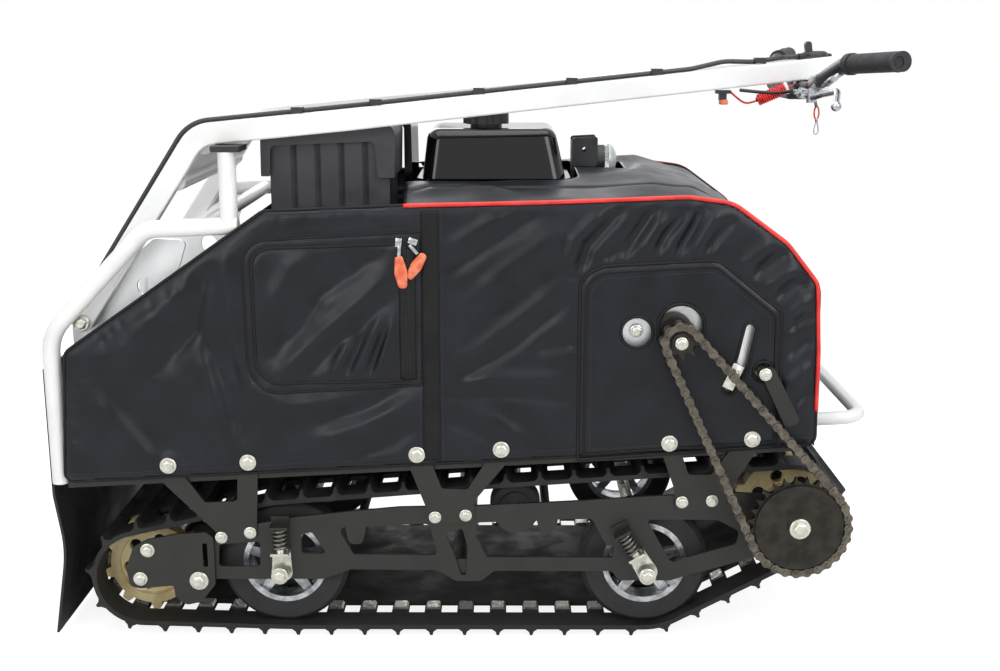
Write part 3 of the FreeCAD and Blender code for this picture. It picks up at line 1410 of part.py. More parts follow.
def brake_lever():
    """Lever and its perch, on the right half of the bar."""
    middle, along = perch_middle()
    band = Part.makeCylinder(BAR_RADIUS + 4.0, 16.0, middle.sub(along * 8.0), along)
    perch = round_tube([middle.add(point(-2, 4, -9)), middle.add(point(-14, 1, -18)),
                        middle.add(point(-30, -4, -15))], [10.0], 7.5)
    barrel = rod(middle.add(point(-28, -3.6, -15.4)), middle.add(point(-38, -6, -13.6)), 3.6)
    pivot = rod(middle.add(point(-14, -8, -10)), middle.add(point(-13, -8, -29)), 7.0)
    blade = round_tube([middle.add(point(-14, -8, -23)), middle.add(point(-4, -40, -16)),
                        middle.add(point(3, -92, -10)), middle.add(point(-6, -124, -27))],
                       [60.0, 18.0], 4.5)
    ball = Part.makeSphere(7.0, middle.add(point(-6.5, -126, -28.5)))
    body = band.fuse([perch, barrel, pivot, blade, ball])
    return body.cut(Part.makeCylinder(BAR_RADIUS, 60.0, middle.sub(along * 30.0), along))


def nose_top():
    return arm_z(NOSE_X) + 11.0


def throttle_control():
    """Thumb throttle: round housing with its lever, on top of the drawbar's nose."""
    z = nose_top() + 0.3
    x = NOSE_X + 3.0
    foot = plate([(x - 26, z, 1), (x + 20, z, 1), (x + 20, z + 5, 2), (x - 26, z + 5, 2)], -18.0, 18.0)
    dome = Part.makeCylinder(20.0, 13.0, point(x + 2, 0, z))
    dome = dome.makeFillet(7.0, [edge for edge in dome.Edges if edge.BoundBox.ZMin > z + 12.0])
    tail = rod(point(x + 16, 6, z + 7), point(x + 29, 14, z + 5), 4.0)
    inlet = rod(point(x - 12, -10, z + 7), point(x - 29, -22, z + 4.6), 4.5)
    paddle = [(x - 12, z + 6, 1), (x - 2, z + 6, 1), (x - 5, z + 28, 4.8), (x - 15.5, z + 27, 4.8)]
    lever = plate(paddle, -5.0, 5.0)
    return foot.fuse([dome, tail, inlet, lever])


def above_arm(x, side, lift, inset=0.0):
    """Point over the top face of a long arm."""
    slope = (DRAWBAR_END[1] - DRAWBAR_KNEE[1]) / (DRAWBAR_END[0] - DRAWBAR_KNEE[0])
    top = DRAWBAR_TUBE / 2.0 * math.hypot(1.0, slope)
    return point(x, side * (arm_y(x) - inset), arm_z(x) + top + lift)


def control_cables():
    """Throttle and stop cables clipped on the right arm and down its leg, and the brake's own."""
    radius = CABLE_RADIUS
    lift = radius + CABLE_LIFT
    leg = point(DRAWBAR_KNEE[0] - PIVOT_X, 0, DRAWBAR_KNEE[1] - PIVOT_Z)
    leg.normalize()
    out = point(-leg.z, 0, leg.x)
    start = point(PIVOT_X, -DRAWBAR_LEG_Y, PIVOT_Z).add(leg * 70.0).add(out * (DRAWBAR_TUBE / 2.0 + lift))
    inlet = point(NOSE_X - 27.0, -22.4, nose_top() + 4.6)
    path = [
        start, above_arm(DRAWBAR_KNEE[0] - 12.3, -1, lift), above_arm(DRAWBAR_SPLAY_X, -1, lift),
        above_arm(350, -1, lift), above_arm(400, -1, lift + 6.0), above_arm(446, -1, lift + 0.5),
        above_arm(490, -1, lift + 2.5), inlet,
    ]
    main = round_tube(path, [60.0, 250.0, 100.0, 90.0, 100.0, 40.0], radius)
    middle, along = perch_middle()
    end_x = SWITCH_X + 24.0
    brake = round_tube([middle.add(point(-41.0, -6.6, -13.0)), point(470, -139, 806), point(446, -119, 807.5),
                        point(end_x, -106, arm_z(end_x) - DRAWBAR_TUBE / 2.0 - 4.0)],
                       [60.0, 60.0], BRAKE_CABLE_RADIUS)
    return [main, brake]


def cable_clips():
    """Plastic clips that hold the cables on the arm."""
    lift = CABLE_RADIUS + CABLE_LIFT
    pieces = []
    for x in CLIP_PLACES:
        base = above_arm(x, -1, 0.2)
        clip = box(x - 8, x + 8, base.y - 9, base.y + 9, base.z + 1.0, base.z + 9.5)
        slot = rod(above_arm(x - 40, -1, lift + 0.3), above_arm(x + 40, -1, lift + 0.3), CABLE_RADIUS + 1.0)
        pieces.append(clip.cut(slot))
    return pieces


def kill_switch():
    """Stop switch under the right arm, with the place for the lanyard's key."""
    x = SWITCH_X
    z = arm_z(x) - DRAWBAR_TUBE / 2.0 - 1.0
    y = -arm_y(x)
    base = box(x - 11, x + 11, y - 8, y + 8, z - 6, z - 1)
    key = box(x - 6, x + 5, y - 5, y + 5, z - 15.5, z - 6)
    return base.fuse(key)


def lanyard_points():
    x = SWITCH_X
    return [
        point(x + 10.5, -arm_y(x), arm_z(x) - DRAWBAR_TUBE / 2.0 - 4.0), point(x + 27, -100, 796),
        point(COIL_START[0], COIL_START[1], COIL_START[2] - COIL_RADIUS + LANYARD_RADIUS),
    ]


def lanyard_cord():
    path = bent_path(lanyard_points(), [60.0])
    first, second = lanyard_points()[0], lanyard_points()[1]
    profile = Part.Wire([Part.makeCircle(LANYARD_RADIUS, first, second.sub(first))])
    return sweep(path, profile)


def lanyard_coil():
    """Outer shape of the curly stretch of the lanyard."""
    return rod(point(*COIL_START), point(*COIL_END), COIL_RADIUS)


def snap_hook():
    """Ring and spring hook that hang from the lanyard's free end."""
    top = snap_top()
    ring = Part.makeTorus(6.0, 1.6, top.add(point(0, 0, -6)), point(0, 1, 0))
    hook = round_tube([top.add(point(0, 0, -12.5)), top.add(point(6, 0, -28)), top.add(point(3, 0, -48))],
                      [14.0], 2.0)
    return ring.fuse(hook)


def snap_top():
    """Just under the brake's perch."""
    middle, along = perch_middle()
    return middle.add(point(-4.0, -6.0, -31.0))


NODES = {
    "track_belt": lambda: [track_belt()],
    "track_clips": track_clips,
    "idler_wheels": idler_wheels,
    "drive_wheels": drive_wheels,
    "road_tyres": road_tyres,
    "road_rims": road_rims,
    "return_rollers": return_rollers,
    "axles": axles,
    "drive_shaft": lambda: [drive_shaft()],
    "side_frame_right": lambda: [side_frame(-1)],
    "side_frame_left": lambda: [side_frame(1)],
    "hanger_brackets": hanger_brackets,
    "idler_arms": idler_arms,
    "cross_members": cross_members,
    "spring_yokes": spring_yokes,
    "suspension_springs": suspension_springs,
    "drive_chain": drive_chain,
    "driven_sprocket": lambda: [driven_sprocket()],
    "drive_pinion": lambda: [drive_pinion()],
    "gearbox_plate": lambda: [gearbox_plate()],
    "reverse_lever": lambda: [reverse_lever()],
    "chassis_tray": lambda: [chassis_tray()],
    "engine_block": lambda: [engine_block()],
    "fuel_tank": lambda: [fuel_tank()],
    "fuel_cap": lambda: [fuel_cap()],
    "air_filter_box": lambda: [air_filter_box()],
    "engine_shroud": lambda: [engine_shroud()],
    "headlight_housing": lambda: [headlight_housing()],
    "headlight_lens": lambda: [headlight_lens()],
    "cover_right": lambda: [cover_side(-1)],
    "cover_left": lambda: [cover_side(1)],
    "cover_hood": lambda: [cover_hood()],
    "rear_guard_right": lambda: [rear_guard(-1)],
    "rear_guard_left": lambda: [rear_guard(1)],
    "rear_guard_cross": rear_guard_cross,
    "guard_pads": guard_pads,
    "mud_flap": lambda: [mud_flap()],
    "front_bumper": lambda: [front_bumper()],
    "tow_hitch": lambda: [tow_hitch()],
    "pivot_brackets": pivot_brackets,
    "drawbar_rail_right": lambda: [drawbar_rail(-1)],
    "drawbar_rail_left": lambda: [drawbar_rail(1)],
    "drawbar_cross_tubes": drawbar_cross_tubes,
    "handlebar": lambda: [handlebar()],
    "grips": grips,
    "handlebar_clamp": lambda: [handlebar_clamp()],
    "brake_lever": lambda: [brake_lever()],
    "throttle_control": lambda: [throttle_control()],
    "control_cables": control_cables,
    "cable_clips": cable_clips,
    "kill_switch": lambda: [kill_switch()],
    "lanyard_cord": lambda: [lanyard_cord()],
    "lanyard_coil": lambda: [lanyard_coil()],
    "snap_hook": lambda: [snap_hook()],
}


def main():
    os.makedirs(OUT, exist_ok=True)
    shapes = {}
    for name, build in NODES.items():
        solids = []
        for shape in build():
            solids += shape.Solids
        shapes[name] = Part.makeCompound(solids)
    whole = FreeCAD.BoundBox()
    for shape in shapes.values():
        whole.add(shape.BoundBox)
    shift = point(-whole.Center.x, 0.0, -whole.ZMin)
    for name, shape in shapes.items():
        shape.translate(shift)
        shape.exportStep(os.path.join(OUT, name + ".step"))
        print(name, len(shape.Solids), "solids", round(shape.Volume / 1000.0, 1), "cm3",
              "valid" if shape.isValid() else "INVALID")
    print("size", [round(v, 1) for v in (whole.XLength, whole.YLength, whole.ZLength)])
    print("shift", [round(v, 2) for v in shift], "idler", round(IDLER_X, 2), "pinion", round(PINION_X, 1),
          round(PINION_Z, 1))


if __name__ == "__main__":
    main()
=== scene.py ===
# %% [markdown]
# # Tracked snow tug: looks
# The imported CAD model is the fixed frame. This script gives every CAD node a material, sews the
# fabric cover over its plain solids and adds the small hardware that the CAD leaves out.
# Everything is in metres, +X is the driving direction, +Y is the machine's left, +Z is up.

import math

import bmesh
import bpy
import numpy as np
from mathutils import Matrix, Vector
from mathutils import noise


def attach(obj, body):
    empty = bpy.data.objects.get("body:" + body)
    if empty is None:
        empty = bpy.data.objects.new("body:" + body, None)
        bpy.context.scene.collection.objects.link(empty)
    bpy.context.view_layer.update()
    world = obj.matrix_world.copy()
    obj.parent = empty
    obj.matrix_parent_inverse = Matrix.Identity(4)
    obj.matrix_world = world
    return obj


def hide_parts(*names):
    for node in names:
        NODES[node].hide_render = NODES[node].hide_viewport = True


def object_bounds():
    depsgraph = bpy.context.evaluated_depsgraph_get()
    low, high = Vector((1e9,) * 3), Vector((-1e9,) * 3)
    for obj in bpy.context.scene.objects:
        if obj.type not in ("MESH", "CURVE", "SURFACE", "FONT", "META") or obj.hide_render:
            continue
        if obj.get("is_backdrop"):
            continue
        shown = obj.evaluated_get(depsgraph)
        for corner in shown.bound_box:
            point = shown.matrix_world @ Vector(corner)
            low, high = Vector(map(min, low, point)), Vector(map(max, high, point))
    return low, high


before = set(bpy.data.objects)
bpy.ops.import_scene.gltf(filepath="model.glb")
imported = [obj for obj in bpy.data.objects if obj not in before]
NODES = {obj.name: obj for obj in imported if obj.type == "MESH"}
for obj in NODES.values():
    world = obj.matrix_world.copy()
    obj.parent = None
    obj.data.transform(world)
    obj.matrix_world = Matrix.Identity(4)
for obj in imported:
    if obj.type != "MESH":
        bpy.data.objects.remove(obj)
bpy.ops.object.select_all(action="DESELECT")
cad_low, cad_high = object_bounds()
print("CAD box", [round(v, 3) for v in (*cad_low, *cad_high)])

# %% [markdown]
# ## Sizes and places
# The construction was drawn in millimetres with its zero at the middle of the track. The packed
# model is moved forward by a fixed amount, so one small function turns drawn millimetres into
# places in the shared frame, and every later cell uses it.

# %% Drawn millimetres to metres
MM = 0.001
SHIFT_MM = 16.28


def at(x, y, z):
    """Place of a drawn point, in metres."""
    return Vector(((x + SHIFT_MM) * MM, y * MM, z * MM))


print("drawn zero lies at", [round(v, 4) for v in at(0, 0, 0)])

# %% [markdown]
# ## Camera
# The camera stands to the machine's right, about two metres away and level with its top, and
# looks slightly down. Depth of field stays off, so every part is sharp.

# %% Camera
CAMERA_AT = at(74.66, -2069.5, 884.0)
CAMERA_PITCH = 0.22456
CAMERA_YAW = 0.003476
LENS_MM = 46.8

camera_data = bpy.data.cameras.new("camera")
camera_data.lens = LENS_MM
camera_data.sensor_width = 36.0
camera_data.dof.use_dof = False
camera = bpy.data.objects.new("camera", camera_data)
camera.location = CAMERA_AT
camera.rotation_euler = (math.pi / 2.0 - CAMERA_PITCH, 0.0, CAMERA_YAW)
bpy.context.scene.collection.objects.link(camera)
bpy.context.scene.camera = camera
bpy.context.scene.view_settings.view_transform = "Standard"
print("camera at", [round(v, 3) for v in camera.location], "lens", camera_data.lens)

# %% [markdown]
# ## Lanyard
# The stop switch is pulled by a red lanyard: a short straight stretch, then a curly stretch wound
# like a telephone cord, whose end is hooked on the handlebar clamp. It is one curve, because a
# curl is only more points of the same line. A NURBS line rounds each corner by itself.

# %% Lanyard route
LANYARD_DIAMETER = 3.0 * MM
COIL_START = at(449.0, -100.0, 793.0)
COIL_END = at(498.5, -102.0, 814.2)
COIL_LINE_RADIUS = 7.5 * MM
COIL_TURNS = 16
COIL_STEPS = 16
COIL_MARGIN = 1.6 * MM
EASE_STEPS = 14

coil_axis = (COIL_END - COIL_START).normalized()
coil_side = Vector((0.0, 1.0, 0.0))
coil_up = coil_side.cross(coil_axis).normalized() * -1.0
coil_run = (COIL_END - COIL_START).length - 2.0 * COIL_MARGIN
lanyard_route = [at(410.5, -99.6, 807.1), at(420.0, -100.0, 798.5), at(434.0, -100.0, 788.5)]
LAST_STEP = COIL_TURNS * COIL_STEPS
for step in range(LAST_STEP + 1):
    turn = step / COIL_STEPS * 2.0 * math.pi
    along = COIL_MARGIN + coil_run * step / LAST_STEP
    swell = min(1.0, step / EASE_STEPS, (LAST_STEP - step) / EASE_STEPS)
    spoke = coil_side * math.sin(turn) - coil_up * math.cos(turn)
    lanyard_route.append(COIL_START + coil_axis * along + spoke * COIL_LINE_RADIUS * swell)
lanyard_route += [at(502.0, -102.2, 815.4), at(506.0, -102.4, 816.2)]
print(COIL_TURNS, "turns,", len(lanyard_route), "points on the route")

# %% Lanyard curve
lanyard_data = bpy.data.curves.new("lanyard", "CURVE")
lanyard_data.dimensions = "3D"
lanyard_data.bevel_depth = LANYARD_DIAMETER / 2.0
lanyard_data.bevel_resolution = 2
lanyard_data.resolution_u = 3
lanyard_data.use_fill_caps = True
lanyard_line = lanyard_data.splines.new("NURBS")
lanyard_line.points.add(len(lanyard_route) - 1)
for spot, place in zip(lanyard_line.points, lanyard_route):
    spot.co = (*place, 1.0)
lanyard_line.order_u = 3
lanyard_line.use_endpoint_u = True
lanyard = bpy.data.objects.new("lanyard", lanyard_data)
bpy.context.scene.collection.objects.link(lanyard)
centre_data = lanyard_data.copy()
centre_data.bevel_depth = 0.0
centre = bpy.data.objects.new("lanyard_centre", centre_data)
bpy.context.scene.collection.objects.link(centre)
for line in (lanyard, centre):
    bpy.ops.object.select_all(action="DESELECT")
    line.select_set(True)
    bpy.context.view_layer.objects.active = line
    bpy.ops.object.convert(target="MESH")
bpy.ops.object.select_all(action="DESELECT")
bpy.data.objects.remove(centre)
lanyard.data.shade_smooth()
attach(lanyard, "drawbar")
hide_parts("lanyard_cord", "lanyard_coil")

# %% [markdown]
# ## Floor and light
# A plain pale floor and white surroundings are lit by large soft panels, as in a product
# studio. The white that the camera, the metal and the lens see comes from the Is Camera, Is Glossy
# and Is Transmission rays, so that it never adds light to the machine itself.

# %% Node and colour helpers
def linear(code):
    """Linear colour of an sRGB hex value."""
    shares = [int(code[i:i + 2], 16) / 255.0 for i in (1, 3, 5)]
    return tuple(s / 12.92 if s <= 0.04045 else ((s + 0.055) / 1.055) ** 2.4 for s in shares) + (1.0,)


def add_node(tree, kind, inputs=None, **settings):
    """Node of one kind, with its settings, its values and the sockets that feed it."""
    made = tree.nodes.new(kind)
    for name, value in settings.items():
        setattr(made, name, value)
    for socket, value in (inputs or {}).items():
        if isinstance(value, bpy.types.NodeSocket):
            tree.links.new(value, made.inputs[socket])
        else:
            made.inputs[socket].default_value = value
    return made


print("mid grey is", round(linear("#808080")[0], 3), "in linear light")

# %% White surroundings
world = bpy.data.worlds.new("studio")
bpy.context.scene.world = world
world.use_nodes = True
world.node_tree.nodes.clear()
rays = add_node(world.node_tree, "ShaderNodeLightPath")
clear_rays = add_node(world.node_tree, "ShaderNodeMath", {0: rays.outputs["Is Camera Ray"],
                      1: rays.outputs["Is Transmission Ray"]}, operation="MAXIMUM")
white_rays = add_node(world.node_tree, "ShaderNodeMath", {0: clear_rays.outputs[0],
                      1: rays.outputs["Is Glossy Ray"]}, operation="MAXIMUM")
AMBIENT = 0.36
level = add_node(world.node_tree, "ShaderNodeMapRange", {"Value": white_rays.outputs[0], "To Min": AMBIENT})
WHITE = (1.0, 1.0, 1.0, 1.0)
glow = add_node(world.node_tree, "ShaderNodeBackground", {"Color": WHITE, "Strength": level.outputs[0]})
add_node(world.node_tree, "ShaderNodeOutputWorld", {"Surface": glow.outputs[0]})
print("ambient level", AMBIENT)

# %% Floor
bpy.ops.mesh.primitive_plane_add(size=24.0, location=(0.0, 0.0, -0.0005))
floor = bpy.context.object
floor.name = "floor"
floor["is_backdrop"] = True
floor_finish = bpy.data.materials.new("matt_white_studio_floor")
floor_finish.use_nodes = True
floor_tree = floor_finish.node_tree
floor_tree.nodes.clear()
floor_rays = add_node(floor_tree, "ShaderNodeLightPath")
matt = add_node(floor_tree, "ShaderNodeBsdfDiffuse", {"Color": linear("#FAFAF9")})
# The share and the strength make lit floor white for the camera and leave its shadow visible.
FLOOR_GLOW, GLOW_STRENGTH = 0.62, 1.42
white = add_node(floor_tree, "ShaderNodeEmission", {"Color": WHITE, "Strength": GLOW_STRENGTH})
glow_share = add_node(floor_tree, "ShaderNodeMath", {0: floor_rays.outputs["Is Camera Ray"], 1: FLOOR_GLOW},
                      operation="MULTIPLY")
floor_mix = add_node(floor_tree, "ShaderNodeMixShader", {0: glow_share.outputs[0], 1: matt.outputs[0],
                     2: white.outputs[0]})
add_node(floor_tree, "ShaderNodeOutputMaterial", {"Surface": floor_mix.outputs[0]})
floor.data.materials.append(floor_finish)
print("floor glows", FLOOR_GLOW, "for the camera only")

# %% Soft panels
PANELS = (
    # name, place, looks at, width, height, watts
    ("panel_top", (0.1, -0.6, 3.0), (0.0, 0.0, 0.4), 3.2, 2.4, 62.0),
    ("panel_front", (1.9, -2.6, 1.9), (0.1, 0.0, 0.45), 1.6, 1.6, 34.0),
    ("panel_near", (-1.6, -2.9, 1.5), (0.0, 0.0, 0.4), 1.6, 1.4, 24.0),
    ("panel_back", (-0.8, 2.8, 1.9), (0.0, 0.0, 0.5), 2.2, 1.6, 34.0),
)
for name, place, target, width, height, watts in PANELS:
    panel_data = bpy.data.lights.new(name, "AREA")
    panel_data.shape = "RECTANGLE"
    panel_data.size = width
    panel_data.size_y = height
    panel_data.energy = watts
    panel = bpy.data.objects.new(name, panel_data)
    panel.location = place
    panel.rotation_euler = (Vector(target) - Vector(place)).to_track_quat("-Z", "Y").to_euler()
    bpy.context.scene.collection.objects.link(panel)
print(len(PANELS), "soft panels")

# %% [markdown]
# ## Finishes
# Each finish starts from what the real surface is and how it was made. A first helper makes the
# shader with its constant values on its own sockets, a second lets a colour wander between two
# tones in patches of one real size, and a third adds a fine relief of one real grain size.

# %% Finish helpers
def begin_finish(name, **values):
    """Material with one principled shader; returns it with its tree and shader."""
    material = bpy.data.materials.new(name)
    material.use_nodes = True
    tree = material.node_tree
    tree.nodes.clear()
    sockets = {key.replace("_", " "): value for key, value in values.items()}
    shader = add_node(tree, "ShaderNodeBsdfPrincipled", sockets)
    add_node(tree, "ShaderNodeOutputMaterial", {"Surface": shader.outputs[0]})
    return material, tree, shader


PATCH_LOW, PATCH_HIGH = 0.38, 0.62
GRAIN_DETAIL = 2.0
EVEN = (1.0, 1.0, 1.0)


def patches(tree, size_mm, tones, detail=3.0, stretch=EVEN):
    """Colour that wanders between two tones in patches of one size."""
    place = add_node(tree, "ShaderNodeTexCoord")
    spread = add_node(tree, "ShaderNodeMapping", {"Vector": place.outputs["Object"], "Scale": stretch})
    cloud = add_node(tree, "ShaderNodeTexNoise", {"Vector": spread.outputs[0], "Scale": 1000.0 / size_mm,
                     "Detail": detail})
    share = add_node(tree, "ShaderNodeMapRange", {"Value": cloud.outputs["Fac"], "From Min": PATCH_LOW,
                     "From Max": PATCH_HIGH})
    first, second = (linear(tone) for tone in tones)
    mixed = add_node(tree, "ShaderNodeMix", {0: share.outputs[0], 6: first, 7: second}, data_type="RGBA")
    return mixed.outputs[2], share.outputs[0]


def relief(tree, shader, size_mm, height_mm, stretch=EVEN):
    """Fine grain of one size and height, as bump."""
    place = add_node(tree, "ShaderNodeTexCoord")
    spread = add_node(tree, "ShaderNodeMapping", {"Vector": place.outputs["Object"], "Scale": stretch})
    grain = add_node(tree, "ShaderNodeTexNoise", {"Vector": spread.outputs[0], "Scale": 1000.0 / size_mm,
                     "Detail": GRAIN_DETAIL})
    bump = add_node(tree, "ShaderNodeBump", {"Height": grain.outputs["Fac"], "Distance": height_mm * MM})
    tree.links.new(bump.outputs[0], shader.inputs["Normal"])


def roughness_range(tree, shader, share, smooth, rough):
    """Roughness that follows a pattern between two values."""
    span = add_node(tree, "ShaderNodeMapRange", {"Value": share, "To Min": smooth, "To Max": rough})
    tree.links.new(span.outputs[0], shader.inputs["Roughness"])


def simple_finish(name, tones, patch_mm, smooth, rough, grain_mm, height_mm, stretch=EVEN, **values):
    """Finish from two tones in patches, a roughness that follows them, and a grain."""
    material, tree, shader = begin_finish(name, **values)
    colour, share = patches(tree, patch_mm, tones, stretch=stretch)
    tree.links.new(colour, shader.inputs["Base Color"])
    roughness_range(tree, shader, share, smooth, rough)
    relief(tree, shader, grain_mm, height_mm, stretch=stretch)
    return material


print("finish helpers ready")

# %% [markdown]
# ### Rubber, polyurethane and plastics
# Track, tyres and flap are moulded rubber: matt, nearly black, greyed by dust in patches. The
# toothed wheels are cast polyurethane, ochre and stained. Housings are moulded ABS with a fine
# spark-eroded grain.

# %% Soft and moulded finishes
RUBBER_IOR = 1.52
track_rubber = simple_finish("moulded_track_rubber", ("#0D0D0D", "#191918"), 46.0, 0.62, 0.85, 2.2, 0.25,
                             IOR=RUBBER_IOR)
tyre_rubber = simple_finish("moulded_tyre_rubber", ("#121213", "#1E1E1E"), 30.0, 0.55, 0.8, 1.4, 0.08,
                            IOR=RUBBER_IOR)
flap_rubber = simple_finish("calendered_sheet_rubber", ("#131314", "#18181A"), 60.0, 0.45, 0.65, 3.0, 0.08,
                            IOR=RUBBER_IOR)
grip_rubber = simple_finish("moulded_grip_rubber", ("#1A1B1E", "#232529"), 12.0, 0.6, 0.78, 1.1, 0.12,
                            IOR=RUBBER_IOR)
cable_jacket = simple_finish("extruded_pvc_cable_jacket", ("#1B1C1F", "#26282C"), 40.0, 0.35, 0.5, 1.5,
                             0.03, IOR=1.53)
ochre_urethane = simple_finish("cast_polyurethane", ("#E9D9A8", "#CDB581"), 34.0, 0.34, 0.5, 2.0, 0.1,
                               IOR=1.5)
black_abs = simple_finish("spark_grained_abs", ("#17181A", "#202226"), 24.0, 0.38, 0.52, 0.9, 0.05,
                          IOR=1.54)
filter_abs = simple_finish("moulded_grey_abs", ("#2B2C2F", "#38393D"), 36.0, 0.42, 0.58, 0.9, 0.05,
                           IOR=1.54)
red_urethane = simple_finish("extruded_red_polyurethane", ("#C81414", "#E02620"), 8.0, 0.22, 0.34, 1.0,
                             0.02, IOR=1.5)
print(len(bpy.data.materials), "materials so far")

# %% [markdown]
# ### Painted and bare metal
# Tubes are powder coated white, plates black with an olive cast. Powder coat flows out into a
# faint orange peel about a millimetre wide. Bolts and yokes are zinc plated and passivated,
# which leaves a creamy tint. The chain is oiled steel, the rims are cast and machined aluminium.

# %% Metal finishes
white_powder = simple_finish("white_powder_coat", ("#E9EAEB", "#F1F1F0"), 70.0, 0.3, 0.4, 1.2, 0.02,
                             IOR=1.5, Coat_Weight=0.15, Coat_Roughness=0.2)
black_powder = simple_finish("black_powder_coat", ("#151512", "#201F1A"), 52.0, 0.4, 0.62, 1.2, 0.03,
                             IOR=1.5)
black_enamel = simple_finish("black_stove_enamel", ("#17181B", "#222429"), 40.0, 0.3, 0.42, 1.6, 0.02,
                             IOR=1.5)
gloss_enamel = simple_finish("gloss_black_enamel", ("#040405", "#070708"), 90.0, 0.08, 0.12, 6.0, 0.01,
                             IOR=1.5, Specular_IOR_Level=0.35, Coat_Weight=0.15,
                             Coat_Roughness=0.03)
ZINC_TONES = ("#D6D5CC", "#C3C2B8")
zinc_plate = simple_finish("passivated_zinc_plate", ZINC_TONES, 9.0, 0.26, 0.4, 1.0, 0.02,
                           Metallic=1.0)
chain_steel = simple_finish("oiled_roller_chain_steel", ("#716B60", "#55504A"), 14.0, 0.32, 0.5, 1.2, 0.04,
                            Metallic=0.9)
sprocket_steel = simple_finish("oiled_dark_steel", ("#2A2926", "#3B3832"), 18.0, 0.38, 0.6, 1.2, 0.04,
                               Metallic=0.8)
spring_steel = simple_finish("phosphated_spring_steel", ("#77766F", "#5E5D57"), 10.0, 0.3, 0.45, 1.0, 0.03,
                             Metallic=0.9)
rim_aluminium = simple_finish("machined_cast_aluminium", ("#C6C9CD", "#8F9296"), 16.0, 0.25, 0.42,
                              1.2, 0.03, Metallic=1.0)
cast_engine = simple_finish("sand_cast_aluminium", ("#26272A", "#3A3B3D"), 14.0, 0.5, 0.7, 1.6, 0.2,
                            Metallic=0.3)
lever_aluminium = simple_finish("polished_cast_aluminium", ("#BFC2C6", "#A8ABAF"), 14.0, 0.2, 0.34,
                                1.4, 0.03, Metallic=1.0)
bright_steel = simple_finish("bright_rolled_steel", ("#ECEDEE", "#DCDEE0"), 60.0, 0.34, 0.44, 1.4, 0.02,
                             stretch=(1.0, 1.0, 0.25), Metallic=1.0)
print(len(bpy.data.materials), "materials so far")

# %% [markdown]
# ### Zinc plate with a painted cup
# The yokes are zinc plated, and the cup that each carries its spring in is painted black. They
# are one part, so the finish changes with height: plate below the cup, paint from its rim up.

# %% Yoke finish
CUP_STARTS, CUP_SOLID = 0.163, 0.166
spring_seat, seat_tree, seat_shader = begin_finish("zinc_plate_and_black_paint")
seat_colour, seat_share = patches(seat_tree, 12.0, ZINC_TONES)
seat_place = add_node(seat_tree, "ShaderNodeTexCoord")
seat_axes = add_node(seat_tree, "ShaderNodeSeparateXYZ", {0: seat_place.outputs["Object"]})
painted = add_node(seat_tree, "ShaderNodeMapRange", {"Value": seat_axes.outputs["Z"], "From Min": CUP_STARTS,
                   "From Max": CUP_SOLID})
seat_mix = add_node(seat_tree, "ShaderNodeMix", {0: painted.outputs[0], 6: seat_colour, 7: linear("#1A1A17")},
                    data_type="RGBA")
bare = add_node(seat_tree, "ShaderNodeMath", {0: 1.0, 1: painted.outputs[0]}, operation="SUBTRACT")
seat_tree.links.new(seat_mix.outputs[2], seat_shader.inputs["Base Color"])
seat_tree.links.new(bare.outputs[0], seat_shader.inputs["Metallic"])
roughness_range(seat_tree, seat_shader, seat_share, 0.28, 0.42)
relief(seat_tree, seat_shader, 1.2, 0.02)
print("paint starts", CUP_STARTS, "m above the ground")

# %% [markdown]
# ### Lamp lens
# The lens is clear polycarbonate, pressed with fine flutes that spread the beam. The flutes are
# about two millimetres apart, drawn as bump. At scale 1 a wave texture repeats about every 0.314 m,
# so that length over the wanted spacing is its scale.

# %% Lens
WAVE_PERIOD_AT_ONE = 0.314159
FLUTE_MM = 2.4
clear_lens, lens_tree, lens_shader = begin_finish("fluted_clear_polycarbonate", Base_Color=linear("#F2F6F4"),
                                                  Roughness=0.06, IOR=1.585, Transmission_Weight=0.75)
lens_place = add_node(lens_tree, "ShaderNodeTexCoord")
flutes = add_node(lens_tree, "ShaderNodeTexWave", {"Vector": lens_place.outputs["Object"],
                  "Scale": WAVE_PERIOD_AT_ONE / (FLUTE_MM * MM)}, bands_direction="Y")
flute_bump = add_node(lens_tree, "ShaderNodeBump", {"Height": flutes.outputs["Fac"], "Distance": 0.2 * MM})
lens_tree.links.new(flute_bump.outputs[0], lens_shader.inputs["Normal"])
print("flutes", FLUTE_MM, "mm apart")

# %% [markdown]
# ### Cover fabric
# The cover is coated polyester, charcoal with a navy cast: a plain weave whose coating gives a
# soft sheen. The real threads are under half a millimetre apart, too fine to show, so the weave
# is drawn at 2 mm. Webbing and binding are the same yarn, ribbed and blacker.

# %% Woven finishes
CLOTH_PATCH_MM, THREAD_UNEVEN = 55.0, 0.6


def woven_finish(name, tones, thread_mm, height_mm, smooth, rough, **values):
    """Two crossing sets of threads over patchy colour."""
    material, tree, shader = begin_finish(name, **values)
    colour, share = patches(tree, CLOTH_PATCH_MM, tones, detail=5.0)
    tree.links.new(colour, shader.inputs["Base Color"])
    roughness_range(tree, shader, share, smooth, rough)
    place = add_node(tree, "ShaderNodeTexCoord")
    scale = WAVE_PERIOD_AT_ONE / (thread_mm * MM)
    threads = [add_node(tree, "ShaderNodeTexWave", {"Vector": place.outputs["Object"], "Scale": scale,
                        "Distortion": THREAD_UNEVEN}, bands_direction=way) for way in ("X", "Z")]
    crossed = add_node(tree, "ShaderNodeMath", {0: threads[0].outputs["Fac"], 1: threads[1].outputs["Fac"]},
                       operation="ADD")
    bump = add_node(tree, "ShaderNodeBump", {"Height": crossed.outputs[0], "Distance": height_mm * MM})
    tree.links.new(bump.outputs[0], shader.inputs["Normal"])
    return material


